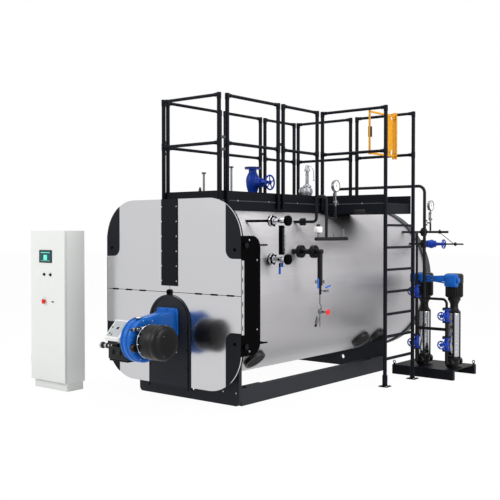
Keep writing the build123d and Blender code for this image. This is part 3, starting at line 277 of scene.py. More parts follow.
# Yellow gloss coat of the gate: strong warning colour with a soft sheen
GATE_YELLOW = Finish("yellow_gloss_coat", "D69310", 0.0, 0.36, SPRAYED, DROP_GRAIN, 0.04, 0.04)
# Red enamel of the drain's wheel: bright spot of colour
VALVE_RED = Finish("red_wheel_enamel", "E82C2C", 0.0, 0.3, SPRAYED, EVEN_GRAIN, 0.04, 0.04)
# Pressed black covers of motors and fan: near black with a broad soft highlight
DRUM_BLACK = Finish("black_pressed_cover", "0F0F10", 0.0, 0.38, SPRAYED, EVEN_GRAIN, 0.05, 0.06, 0.1, specular=0.2)
# Moulded black plastic of knobs and caps: small crisp highlights
KNOB_BLACK = Finish("black_moulded_plastic", "0C0C0E", 0.0, 0.4, SPRAYED, FINE_GRAIN, 0.03, 0.05, 0.08, specular=0.3)
# Cast iron under grey paint: lightly pebbled
CAST_GREY = Finish("grey_painted_casting", "85878B", 0.0, 0.48, CAST, SAND_GRAIN, 0.3, 0.08, 0.18, specular=0.3)
# Black paint on pipes: uneven, brushed on by hand
PIPE_BLACK = Finish("black_pipe_paint", "0D0E12", 0.0, 0.44, CAST, SAND_GRAIN, 0.1, 0.06, 0.15)
# Machined steel: bright, with fine tool marks
MACHINED = Finish("machined_steel", "B9BABD", 1.0, 0.28, BRUSHED, EVEN_GRAIN, 0.02, 0.06, 0.1)
# Polished stainless of pump barrels and gauge arms: clear upright reflections
POLISHED = Finish("polished_stainless", "BBBCC0", 1.0, 0.14, BRUSHED, (1.5, 1.5, 60.0), 0.01, 0.03, 0.05)
# Dull drawn steel: darker and softer than the polished parts
DULL_STEEL = Finish("dull_drawn_steel", "77787B", 1.0, 0.34, BRUSHED, (2.0, 2.0, 40.0), 0.01, 0.05, 0.1)
# Bead-blasted cast aluminium: pale, soft and without gloss
CAST_ALUMINIUM = Finish("blasted_aluminium", "A3A5A9", 1.0, 0.42, CAST, FINE_GRAIN, 0.08, 0.06, 0.08)
# Silver painted plate of the desk: light metal grey with a low sheen
DESK_SILVER = Finish("silver_desk_plate", "B4B8BA", 0.2, 0.42, SPRAYED, EVEN_GRAIN, 0.02, 0.04)
# Textured powder coat of the cabinet: pale and evenly matt
CABINET_COAT = Finish("light_grey_textured_coat", "DDDFDC", 0.0, 0.5, CAST, (2.2, 2.2, 2.2), 0.08, 0.05, 0.03)
# Screen's frame: dark glass that mirrors a little
SCREEN_FRAME = Finish("dark_screen_frame", "142328", 0.0, 0.25, SMOOTH, specular=0.3)
# Screen's pane: dark, lit faintly from behind
SCREEN_LIT = Finish("lit_screen_pane", "1B3138", 0.0, 0.15, SMOOTH, glow="204850")
# Screen's fields: pale green, lit from behind
SCREEN_MINT = Finish("lit_screen_mint", "5FC4AA", 0.0, 0.2, SMOOTH, glow="58BCA2")
# Stop button: saturated red plastic
SIGNAL_RED = Finish("red_button_plastic", "D8281E", 0.0, 0.3, SMOOTH)
# White moulded plastic: soft and clean
PALE_PLASTIC = Finish("white_moulded_plastic", "E4E4E2", 0.0, 0.35, SPRAYED, FINE_GRAIN, 0.02, 0.04, 0.03)
# Enamelled dial: flat white behind the pointer
DIAL_WHITE = Finish("white_enamelled_dial", "F0F0EC", 0.0, 0.35, SMOOTH, shade=0.02)
# Printed dial marks: flat black
DIAL_BLACK = Finish("black_dial_print", "121214", 0.0, 0.4, SMOOTH)
# Dipped blue grips of levers: soft plastic skin
LEVER_BLUE = Finish("blue_dipped_grip", "1A62C4", 0.0, 0.4, SPRAYED, FINE_GRAIN, 0.03, 0.05)
# Hollow of slots and seams: no light comes back
PORT_DARK = Finish("dark_hollow", "050506", 0.0, 0.7, SMOOTH)


NODES_BY_FINISH: tuple[tuple[Finish, str], ...] = (
    (NAVY_COAT, "front_saddle rear_saddle burner_plate"),
    (BEAM_COAT, "base_beams"),
    (CLADDING, "jacket"),
    (COLLAR_COAT, "rear_collar rear_end rear_door flue_outlet"),
    (BLACK_COAT, "front_frame side_plates gauge_glass"),
    (BRIGHT_SHEET, "upper_sheets lower_sheets"),
    (EDGE_COAT, "centre_strip toe_boards pump_skid"),
    (CORNER_COAT, "corner_plates"),
    (BURNER_BLUE, "burner_duct fan_housing"),
    (DRUM_BLACK, "fan_motor pump_feet pump_motors"),
    (MACHINED, "gas_valve"),
    (DESK_SILVER, "burner_desk"),
    (PIPE_BLACK, "handholes pressure_pipe water_column rear_valves feed_pipe pump_pipes"),
    (RAIL_COAT, "platform_frame railing_front railing_right railing_left railing_landing railing_rear ladder"),
    (TREAD_PLATE, "platform_deck"),
    (GATE_YELLOW, "gate_channel gate"),
    (CAST_GREY, "top_nozzles safety_valve"),
    (VALVE_BLUE, "steam_valve steam_wheel rear_wheel gate_valves wheel_a_low wheel_a_high wheel_b_low wheel_b_high"),
    (POLISHED, "level_gauge pressure_gauges pump_stacks"),
    (PALE_PLASTIC, "transmitter"),
    (VALVE_RED, "drain_wheel"),
    (DRIVE_BLUE, "pump_drives"),
    (CABINET_COAT, "cabinet_body cabinet_door"),
)


# Surfaces


@dataclass(frozen=True)
class Place:
    """A local frame: where it starts, where its Z points and which way its X leans."""

    origin: Vec
    out: Vec = Z_AXIS
    across: Vec = X_AXIS

    def world(self, local: Points) -> Points:
        """Carry local points into the model's frame.

        Each point is the origin plus its parts along three unit axes at right angles.

        Args:
            local: Points as an array whose last axis holds x, y and z.

        Returns:
            The points in the model's frame.
        """
        return np.array(self.origin, float) + local @ np.stack([self.axis(k) for k in range(3)])

    def axis(self, number: int) -> Points:
        """One of the three unit axes.

        Args:
            number: 0, 1 or 2 for the local X, Y or Z.

        Returns:
            The axis in the model's frame.
        """
        z = np.array(self.out, float)
        z /= np.linalg.norm(z)
        x = np.array(self.across, float)
        x -= x.dot(z) * z
        x /= np.linalg.norm(x)
        return (x, np.cross(z, x), z)[number]

    def at(self, x: float, y: float, z: float) -> Vec:
        """The model's place of one local point."""
        return tuple(self.world(np.array([[x, y, z]]))[0].tolist())


def mm(*values: float) -> list[tuple[float, float]]:
    """Pair up millimetres as metres: the height of each station, then its radius or inset."""
    return [(height, reach) for height, reach in (np.array(values, float).reshape(-1, 2) / 1000.0).tolist()]


def fluted(place: Place, table: Sequence[tuple[float, float, float]], swing: Points) -> Points:
    """Turn a profile about the place's Z, fluted in part: r = R (1 + share (swing - 1)), x = r cos t, y = r sin t.

    Args:
        place: The frame.
        table: Height, radius and share of each station, where the share is nought or one.
        swing: The factor of the radius at each point around.

    Returns:
        Stations by points around by three.
    """
    h, r, share = np.array(table, float).T[:, :, None]
    t = np.arange(len(swing)) * 2.0 * np.pi / len(swing)
    rim = r * (1.0 + share * (swing - 1.0))
    return place.world(np.stack([rim * np.cos(t), rim * np.sin(t), h + 0.0 * t], axis=-1))


def lathe(place: Place, profile: Sequence[tuple[float, float]], sides: int = 28) -> Points:
    """Turn a plain profile about the place's Z: x = r cos t, y = r sin t, z = h.

    Args:
        place: The frame.
        profile: Height and radius of each station.
        sides: Points around.

    Returns:
        Stations by sides by three.
    """
    return fluted(place, [(h, r, 0.0) for h, r in profile], np.ones(sides))


def rounded_profile(length: float, radius: float, edge: float, steps: int = 4) -> list[tuple[float, float]]:
    """A bar's profile with a quarter circle of the edge's size at both ends.

    Args:
        length: From end to end.
        radius: The bar's radius.
        edge: The quarter circle's radius.
        steps: Divisions of each quarter.

    Returns:
        Height and radius of each station.
    """
    a = np.linspace(0.0, np.pi / 2.0, steps + 1)
    h = edge * (1.0 - np.cos(a))
    r = radius - edge * (1.0 - np.sin(a))
    return list(zip(h, r)) + list(zip((length - h)[::-1], r[::-1]))


def slab(
    place: Place, half_x: float, half_y: float, corner: float, profile: Sequence[tuple[float, float]], steps: int = 5
) -> Points:
    """Loft a rounded rectangle along the place's Z, drawn in by each station's inset.

    A point is the corner's centre plus the corner's radius, less the inset, in direction t.

    Args:
        place: The frame, in the middle of the outline.
        half_x: Half the width.
        half_y: Half the height.
        corner: The corners' radius.
        profile: Height and inset of each station.
        steps: Divisions of each corner.

    Returns:
        Stations by outline points by three.
    """
    h, inset = np.array(profile, float).T
    quarter = np.linspace(0.0, np.pi / 2.0, steps + 1)
    t = np.concatenate([quarter + k * np.pi / 2.0 for k in range(4)])
    sx = np.repeat([1.0, -1.0, -1.0, 1.0], steps + 1)
    sy = np.repeat([1.0, 1.0, -1.0, -1.0], steps + 1)
    reach = np.maximum(corner - inset, 0.0)[:, None]
    spare = np.maximum(inset - corner, 0.0)[:, None]
    x = sx * (half_x - corner - spare) + reach * np.cos(t)
    y = sy * (half_y - corner - spare) + reach * np.sin(t)
    return place.world(np.stack([x, y, h[:, None] + 0.0 * t], axis=-1))


def soft_edges(depth: float, edge: float, steps: int = 3) -> list[tuple[float, float]]:
    """Heights and insets of a slab whose two faces have rounded edges.

    Args:
        depth: The slab's thickness.
        edge: The rounding's radius.
        steps: Divisions of each rounding.

    Returns:
        Height and inset of each station.
    """
    a = np.linspace(0.0, np.pi / 2.0, steps + 1)
    h, inset = edge * (1.0 - np.cos(a)), edge * (1.0 - np.sin(a))
    return list(zip(h, inset)) + list(zip((depth - h)[::-1], inset[::-1]))


def route(corners: Sequence[Vec], bend: float, steps: int = 8) -> Points:
    """Points along straight runs whose corners are rounded by a quadratic curve.

    Args:
        corners: The runs' corners.
        bend: How far from each corner its curve begins.
        steps: Divisions of each curve.

    Returns:
        Points by three.
    """
    c = np.array(corners, float)
    back = c[:-2] - c[1:-1]
    ahead = c[2:] - c[1:-1]
    back /= np.linalg.norm(back, axis=1)[:, None]
    ahead /= np.linalg.norm(ahead, axis=1)[:, None]
    s = np.linspace(0.0, 1.0, steps + 1)[None, :, None]
    mid = c[1:-1][:, None, :]
    start, end = mid + bend * back[:, None, :], mid + bend * ahead[:, None, :]
    curves = (1 - s) ** 2 * start + 2 * s * (1 - s) * mid + s**2 * end
    return np.concatenate([c[:1], curves.reshape(-1, 3), c[-1:]])


def pipe(path: Points, radius: float, normal: Vec, sides: int = 16) -> Points:
    """Carry a circle along a flat path: point = path + r (cos t side + sin t normal).

    Args:
        path: Points by three, all in one plane.
        radius: The pipe's radius.
        normal: The plane's normal.
        sides: Points around.

    Returns:
        Stations by sides by three.
    """
    tangent = np.gradient(path, axis=0)
    tangent /= np.linalg.norm(tangent, axis=1)[:, None]
    n = np.array(normal, float)
    side = np.cross(tangent, n)
    side /= np.linalg.norm(side, axis=1)[:, None]
    t = (np.arange(sides) * 2.0 * np.pi / sides)[None, :, None]
    return path[:, None, :] + radius * (np.cos(t) * side[:, None, :] + np.sin(t) * n)


def hoop(place: Place, radius: float, thick: float, around: int = 40, sides: int = 10) -> Points:
    """A ring of round section: r = R + a cos s, z = a sin s.

    Args:
        place: The frame, at the ring's centre.
        radius: From the centre to the section's middle.
        thick: The section's radius.
        around: Stations around the ring.
        sides: Points around the section.

    Returns:
        Stations by sides by three.
    """
    u = np.arange(around)[:, None] * 2.0 * np.pi / around
    s = np.arange(sides)[None, :] * 2.0 * np.pi / sides
    r = radius + thick * np.cos(s)
    return place.world(np.stack([r * np.cos(u), r * np.sin(u), thick * np.sin(s) + 0.0 * u], axis=-1))


class Form:
    """Gathers surfaces into one mesh."""

    def __init__(self) -> None:
        """Start with no points."""
        self.points: list[Points] = []
        self.faces: list[list[int]] = []
        self.count = 0

    def skin(self, grid: Points, closed_path: bool = False) -> "Form":
        """Add a grid of stations, wrapped around, and closed by a face at each end or by itself.

        Args:
            grid: Stations by points around by three.
            closed_path: The last station joins the first.

        Returns:
            The form itself.
        """
        stations, around = grid.shape[:2]
        index = np.arange(stations * around).reshape(stations, around) + self.count
        ahead = np.roll(index, -1, axis=0) if closed_path else index[1:]
        here = index if closed_path else index[:-1]
        quads = np.stack([here, np.roll(here, -1, axis=1), np.roll(ahead, -1, axis=1), ahead], axis=-1)
        self.faces += quads.reshape(-1, 4).tolist()
        if not closed_path:
            self.faces += [index[0][::-1].tolist(), index[-1].tolist()]
        self.points.append(grid.reshape(-1, 3))
        self.count += stations * around
        return self

    def rod(self, start: Vec, end: Vec, radius: float, edge: float = EDGE, sides: int = 20) -> "Form":
        """Add a straight round bar with softened ends, from one point to another.

        Args:
            start: The first end.
            end: The other end.
            radius: The bar's radius.
            edge: The ends' rounding.
            sides: Points around.

        Returns:
            The form itself.
        """
        along = np.subtract(end, start)
        length = float(np.linalg.norm(along))
        lean = X_AXIS if abs(along[0]) < 0.9 * length else Z_AXIS
        profile = rounded_profile(length, radius, min(edge, radius * 0.9))
        return self.skin(lathe(Place(start, tuple(along), lean), profile, sides))

    def ring(self, place: Place, radius: float, thick: float, around: int = 40, sides: int = 10) -> "Form":
        """Add a ring of round section, closed on itself."""
        return self.skin(hoop(place, radius, thick, around, sides), closed_path=True)

    def bent(self, corners: Sequence[Vec], bend: float, radius: float, normal: Vec, sides: int = 10) -> "Form":
        """Add a pipe along straight runs with rounded corners, all in one plane."""
        return self.skin(pipe(route(corners, bend), radius, normal, sides))

    def turned(self, origin: Vec, out: Vec, profile: Sequence[tuple[float, float]], sides: int = 28) -> "Form":
        """Add a turned body whose heights run along the given way."""
        lean = Z_AXIS if abs(out[2]) < 0.9 else X_AXIS
        return self.skin(lathe(Place(origin, out, lean), profile, sides))

    def plate(
        self,
        origin: Vec,
        out: Vec,
        half_x: float,
        half_y: float,
        corner: float,
        depth: float,
        edge: float = FINE,
        across: Vec = X_AXIS,
        steps: int = 5,
    ) -> "Form":
        """Add a rounded plate or block with soft edges.

        Args:
            origin: The middle of its foot.
            out: Which way it rises.
            half_x: Half its width, along the way it leans.
            half_y: Half its height.
            corner: The corners' radius.
            depth: How far it rises.
            edge: The edges' rounding.
            across: Which way its width lies.
            steps: Divisions of each corner.

        Returns:
            The form itself.
        """
        return self.skin(slab(Place(origin, out, across), half_x, half_y, corner, soft_edges(depth, edge), steps))

    def bolts(self, spots: Sequence[Vec], out: Vec, radius: float, height: float) -> "Form":
        """Add a hexagon head on a washer at each spot.

        Args:
            spots: Where each head sits.
            out: Which way the heads point.
            radius: The hexagon's outer radius.
            height: The head's height.

        Returns:
            The form itself.
        """
        lean = X_AXIS if abs(out[0]) < 0.9 else Y_AXIS
        for spot in spots:
            place = Place(spot, out, lean)
            self.skin(lathe(place, [(0.0, radius * 1.25), (height * 0.25, radius * 1.25)], 16))
            head = [(height * 0.25, radius), (height * 0.9, radius), (height, radius * 0.86)]
            self.skin(lathe(place, head, 6))
        return self

    def build(self, name: str, finish: Finish) -> Any:
        """Make the mesh object, with its faces outwards and its sharp edges kept.

        Args:
            name: The object's name.
            finish: Its surface.

        Returns:
            The object.
        """
        mesh = bpy.data.meshes.new(name)
        mesh.from_pydata(np.concatenate(self.points).tolist(), [], self.faces)
        work = bmesh.new()
        work.from_mesh(mesh)
        bmesh.ops.recalc_face_normals(work, faces=work.faces)
        work.to_mesh(mesh)
        work.free()
        mesh.polygons.foreach_set("use_smooth", np.ones(len(mesh.polygons), bool))
        mesh.set_sharp_from_angle(angle=math.radians(38.0))
        mesh.materials.append(finish.material())
        made = bpy.data.objects.new(name, mesh)
        bpy.context.scene.collection.objects.link(made)
        return made


def shell_x(z: float) -> float:
    """How far right the jacket lies at a height, a little inside its skin."""
    return math.sqrt(JACKET_R**2 - (z - AXIS_Z) ** 2) - 0.004


def polar(center: Vec, out: Vec, radius: float, count: int, first: float = 0.0, lean: Vec = Z_AXIS) -> list[Vec]:
    """Spots evenly around a circle.

    Args:
        center: The circle's centre.
        out: The circle's normal.
        radius: The circle's radius.
        count: How many spots.
        first: The first spot's angle in degrees.
        lean: Where the angle counts from.

    Returns:
        The spots.
    """
    t = np.radians(first + np.arange(count) * 360.0 / count)
    local = np.stack([radius * np.cos(t), radius * np.sin(t), 0.0 * t], axis=-1)
    return [tuple(p) for p in Place(center, out, lean).world(local)]


@dataclass
class SubAssembly:
    """Pieces of one part of the plant, which ride on one body."""

    body: str = "boiler"
    pieces: list[Any] = field(default_factory=list)

    def keep(
        self, form: Form, name: str, finish: Finish, slot: str, replaces: Sequence[str] = (), body: str = ""
    ) -> Any:
        """Build a form, let it ride and hide the nodes it stands for.

        Args:
            form: The gathered surfaces.
            name: The piece's name.
            finish: Its surface.
            slot: A material slot's name; not used.
            replaces: Nodes of the model it stands for.
            body: The body it rides on, where it isn't the sub-assembly's own.

        Returns:
            The object.
        """
        piece = form.build(name, finish)
        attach(piece, body or self.body)
        if replaces:
            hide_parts(*replaces)
        self.pieces.append(piece)
        return piece

    def build(self) -> None:
        """Build the main forms, where the sub-assembly has any."""

    def dress(self) -> None:
        """Add the small parts, where the sub-assembly has any."""


@dataclass
class RailPanel:
    """One tube panel: two straight posts, a top and a mid rail, with sleeve sockets where they meet."""

    start: tuple[float, float]
    end: tuple[float, float]
    end_foot: float = 2.160
    foot: float = 2.160
    top: float = 3.400
    mid: float = 2.873
    cap: float = 3.424
    tube: float = 0.0185
    post: float = 0.0232
    socket: float = 0.0262
    sleeve: float = 0.0225
    sleeve_l: float = 0.064
    cap_l: float = 0.074
    mid_half: float = 0.040

    def add_to(self, form: Form) -> None:
        """Add the panel's tubes to a form.

        Args:
            form: Where the surfaces go.
        """
        a, b = np.array(self.start), np.array(self.end)
        along = (b - a) / np.linalg.norm(b - a)
        for spot, inward, foot in ((a, along, self.foot), (b, -along, self.end_foot)):
            form.rod((*spot, foot), (*spot, self.cap - EDGE), self.post, 2 * EDGE)
            form.rod((*spot, self.cap - self.cap_l), (*spot, self.cap), self.socket, 0.005)
            form.rod((*spot, self.mid - self.mid_half), (*spot, self.mid + self.mid_half), self.socket, SOFT)
            near, far = spot + inward * self.post * 0.8, spot + inward * self.sleeve_l
            for z in (self.top, self.mid):
                form.rod((*near, z), (*far, z), self.sleeve, SOFT)
        for z in (self.top, self.mid):
            form.rod((*a, z), (*b, z), self.tube)


@dataclass
class Platform(SubAssembly):
    """Railings, joint clips, slim deck edge strips whose lighter coat paints the edge's highlight, and the ladder's
    small parts.
    """

    half: float = 0.439
    rail_x: float = 0.460
    front_x: float = 0.4285
    front_y: float = 0.042
    landing_x: float = 0.468
    landing_y: float = 2.010
    rear_y: float = 2.710
    rear_xs: tuple[float, ...] = (-0.418, 0.450, 0.550)
    ladder_x: float = 1.390
    stile_top: float = 2.150
    spans: tuple[tuple[float, float], ...] = ((0.144, 1.079), (1.179, 1.900), (2.000, 2.668))
    clip_zs: tuple[float, float] = (2.935, 2.800)
    deck_top_z: float = 2.237
    bolt_ys: tuple[float, ...] = (0.35, 0.92, 1.50, 1.92)
    bolt_xs: tuple[float, ...] = (0.70, 1.05)

    def build(self) -> None:
        """Build the five railings and the clips between neighbouring posts."""
        x, y1, y2 = self.rail_x, self.landing_y, self.rear_y
        first, last, beyond = self.rear_xs
        panels = {
            "front": [RailPanel((-self.front_x, self.front_y), (self.front_x, self.front_y))],
            "right": [RailPanel((x, a), (x, b)) for a, b in self.spans[:2]],
            "left": [RailPanel((-x, a), (-x, b)) for a, b in self.spans],
            "landing": [RailPanel((self.landing_x, y1), (self.ladder_x, y1), self.stile_top)],
            "rear": [
                RailPanel((first, y2), (last, y2)),
                RailPanel((beyond, y2), (self.ladder_x, y2), self.stile_top),
            ],
        }
        for side, group in panels.items():
            form = Form()
            for panel in group:
                panel.add_to(form)
            self.keep(form, f"railing_{side}_tubes", RAIL_COAT, "rail_black", [f"railing_{side}"])
        clips = Form()
        high, low = self.clip_zs
        fore, aft, far = self.spans
        gaps = [((side, fore[1]), (side, aft[0]), high) for side in (-x, x)]
        gaps += [((-x, aft[1]), (-x, far[0]), high), ((last, y2), (beyond, y2), high)]
        for side in SIDES:
            corner = (side * self.front_x, self.front_y), (side * x, fore[0])
            gaps += [(*corner, high), (*corner, low)]
        for start, end, z in gaps:
            way = np.subtract(end, start)
            clips.plate((*start, z), (*way, 0.0), 0.017, 0.007, SOFT, float(np.linalg.norm(way)), EDGE, Z_AXIS)
        self.keep(clips, "railing_clips", KNOB_BLACK, "rail_black")

    def dress(self) -> None:
        """Add the deck's edge strips, whose lighter slate coat paints the highlight along the deck's edge, and its
        screws, the bracket under the landing and the ladder's foot bolts.
        """
        screws, edge, bracket = Form(), Form(), Form()
        y, z = self.landing_y, self.deck_top_z
        screws.bolts([(self.half + SOFT, spot, z + FINE) for spot in self.bolt_ys], X_AXIS, 0.0065, 0.005)
        screws.bolts([(spot, y + 0.018, z + FINE) for spot in self.bolt_xs], FORWARD, 0.0065, 0.005)
        # Strips along the deck's right and landing edges: their slate coat is lighter than the dark deck and paints the
        # highlight on the edge
        edge.plate((self.half, 1.047, z), X_AXIS, 0.984, 0.006, EDGE, 0.004, FINE, Y_AXIS)
        edge.plate((0.914, y + 0.021, z), FORWARD, 0.474, 0.006, EDGE, 0.004)
        self.keep(edge, "deck_edge_highlight_strips", COLLAR_COAT, "rail_black")
        bracket.plate((1.0155, y + 0.033, 2.104), Z_AXIS, 0.0825, 0.020, SOFT, 0.062, EDGE)
        bracket.turned((0.0, 0.201, z + FINE), Z_AXIS, mm(0, 40, 6, 40, 60, 30, 150, 12, 162, 6), 24)
        self.keep(bracket, "landing_bracket_and_cone", KNOB_BLACK, "rail_black")
        feet = [(self.ladder_x + dx, foot + dy, 0.008) for foot in (y, self.rear_y) for dx, dy in SQUARE * 0.045]
        screws.bolts(feet, Z_AXIS, 0.009, 0.010)
        self.keep(screws, "platform_screws", MACHINED, "fitting_steel")


@dataclass
class HandWheel(SubAssembly):
    """A cast hand wheel in the place of the node that bears its body's name: rim, spokes, hub and spindle nut."""

    center: Vec = (0.0, 0.0, 0.0)
    axis: Vec = X_AXIS
    radius: float = 0.097
    rim: float = 0.021
    back: float = 0.030
    stem: float = 0.009
    spokes: int = 5
    web: bool = False
    web_half: float = 0.0012
    finish: Finish = VALVE_BLUE
    slot: str = "wheel_blue"

    def build(self) -> None:
        """Build the wheel: each spoke runs from hub to rim and sinks by a share of sin(pi s)."""
        form = Form()
        place = Place(self.center, self.axis, Z_AXIS)
        thick = self.rim / 2.0
        middle, hub = self.radius - thick, self.rim * 0.9
        form.ring(place, middle, thick * 0.98)
        s = np.linspace(0.0, 1.0, 7)
        for t in np.arange(self.spokes) * 2.0 * np.pi / self.spokes:
            reach = hub + s * (middle - hub)
            local = np.stack([reach * np.cos(t), reach * np.sin(t), -0.25 * self.rim * np.sin(np.pi * s)], axis=-1)
            side = np.subtract(place.at(-np.sin(t), np.cos(t), 0.0), place.origin)
            form.skin(pipe(place.world(local), thick * 0.70, tuple(side), 10))
        if self.web:
            form.skin(lathe(place, [(-self.web_half, middle), (self.web_half, middle)], 36))
        wide = self.rim * 1.35
        boss = [(-thick, self.rim * 1.1), (-thick * 0.6, wide), (thick * 0.6, wide), (thick, self.rim)]
        form.skin(lathe(place, boss, 20))
        shaft = rounded_profile(self.back + hub, self.stem, FINE)
        form.turned(place.at(0.0, 0.0, -self.back), self.axis, shaft, 14)
        nut = [(0.0, self.stem * 1.6), (thick * 0.8, self.stem * 1.6), (thick, self.stem * 1.3)]
        form.turned(place.at(0.0, 0.0, thick), self.axis, nut, 6)
        self.keep(form, f"{self.body}_rim", self.finish, self.slot, [self.body])


@dataclass
class TopFittings(SubAssembly):
    """Steam stop valve, safety valve and vent caps on the boiler's top."""

    steam: Vec = (0.0, 1.165, 2.490)
    steam_foot: float = 2.268
    safety: Vec = (0.0, 2.335, 2.240)
    outlet_rise: float = 0.19
    coils: int = 9
    vents: tuple[tuple[float, float], ...] = ((0.266, 2.560), (0.758, 2.660))

    def build(self) -> None:
        """Build the steam valve's body and the safety valve."""
        y, z = self.steam[1:]
        foot = self.steam_foot
        body = Form()
        curve = mm(
            0, 100, 4, 100, 20, 99, 22, 54, 50, 46, 85, 48, 130, 64, 180, 78, 245, 85, 290, 80, 325, 66, 350, 52,
            374, 48, 392, 50, 394, 99, 408, 100, 409, 40, 330, 38,
        )
        body.turned((0.0, y, foot), Z_AXIS, curve, 40)
        bonnet = mm(
            30, 52, 86, 50, 100, 42, 120, 42, 122, 60, 134, 61, 136, 58, 146, 58, 148, 34, 190, 24, 215, 24, 220, 16,
            239.7, 16,
        )
        body.turned(self.steam, X_AXIS, bonnet, 32)
        body.bolts(polar((0.1465, y, z), X_AXIS, 0.048, 8, 22.5), X_AXIS, 0.006, 0.006)
        body.bolts(polar((0.0, y, foot + 0.022), Z_AXIS, 0.080, 8, 22.5, X_AXIS), Z_AXIS, 0.008, 0.010)
        for turn in SIDES:
            yoke = [(0.146, y + turn * 0.038, z), (0.205, y + turn * 0.036, z), (0.226, y + turn * 0.010, z)]
            body.bent(yoke, 0.012, 0.007, Z_AXIS)
        self.keep(body, "steam_valve_casting", VALVE_BLUE, "valve_blue", ["steam_valve"])
        blank = mm(0, 97, 2, 100, 11, 100, 13.6, 97, 13.6, 43, 4, 41)
        disc = Form().turned((0.0, y, foot + 0.4082), Z_AXIS, blank, 40)
        self.keep(disc, "steam_top_flange", KNOB_BLACK, "gauge_black")
        self._safety()

    def _safety(self) -> None:
        """Build the safety valve: globe, side outlet, spring columns, cap and lifting lever."""
        x, y, base = self.safety
        form = Form()
        globe = mm(
            0, 93, 20, 95, 22, 48, 60, 42, 110, 46, 140, 60, 190, 68, 228, 62, 248, 50, 252, 58, 268, 58, 270, 38,
            290, 30,
        )
        form.turned(self.safety, Z_AXIS, globe, 36)
        side = (x, y, base + self.outlet_rise)
        form.turned(side, LEFT, mm(0, 52, 62, 52, 74, 50, 76, 64, 90, 65, 94.5, 63, 94.5, 45, 80, 42), 32)
        form.turned(side, X_AXIS, mm(0, 52, 50, 52, 60, 48, 66, 36, 68, 10), 32)
        form.rod((x, y, base + 0.285), (x, y, base + 0.485), 0.010)
        for k in range(self.coils):
            form.ring(Place((x, y, base + 0.300 + 0.018 * k)), 0.016, 0.0040, 20, 8)
        for turn in SIDES:
            form.rod((x, y + turn * 0.032, base + 0.262), (x, y + turn * 0.030, base + 0.480), 0.006)
        crown = mm(0, 38, 10, 40, 22, 38, 40, 28, 64, 22, 83, 14, 85, 6)
        form.turned((x, y, base + 0.465), Z_AXIS, crown, 24)
        tip = (0.110, y, base + 0.345)
        lever = [(-0.020, y, base + 0.530), (0.060, y, base + 0.534), (0.106, y, base + 0.470), tip]
        form.bent(lever, 0.020, 0.006, Y_AXIS)
        form.turned(tip, Z_AXIS, mm(-13, 3, -9, 9, 0, 13, 9, 9, 13, 3), 16)
        form.bolts(polar((x, y, base + 0.268), Z_AXIS, 0.049, 6, 0.0, X_AXIS), Z_AXIS, 0.005, 0.007)
        self.keep(form, "safety_valve_casting", CAST_ALUMINIUM, "fitting_grey", ["safety_valve"])

    def dress(self) -> None:
        """Add black caps to the vents."""
        caps = Form()
        for y, top in self.vents:
            caps.turned((0.0, y, top), Z_AXIS, mm(-4, 15, -3, 26.5, 10, 26.2, 13.5, 22, 13.8, 4), 24)
        self.keep(caps, "vent_caps", KNOB_BLACK, "gauge_black")


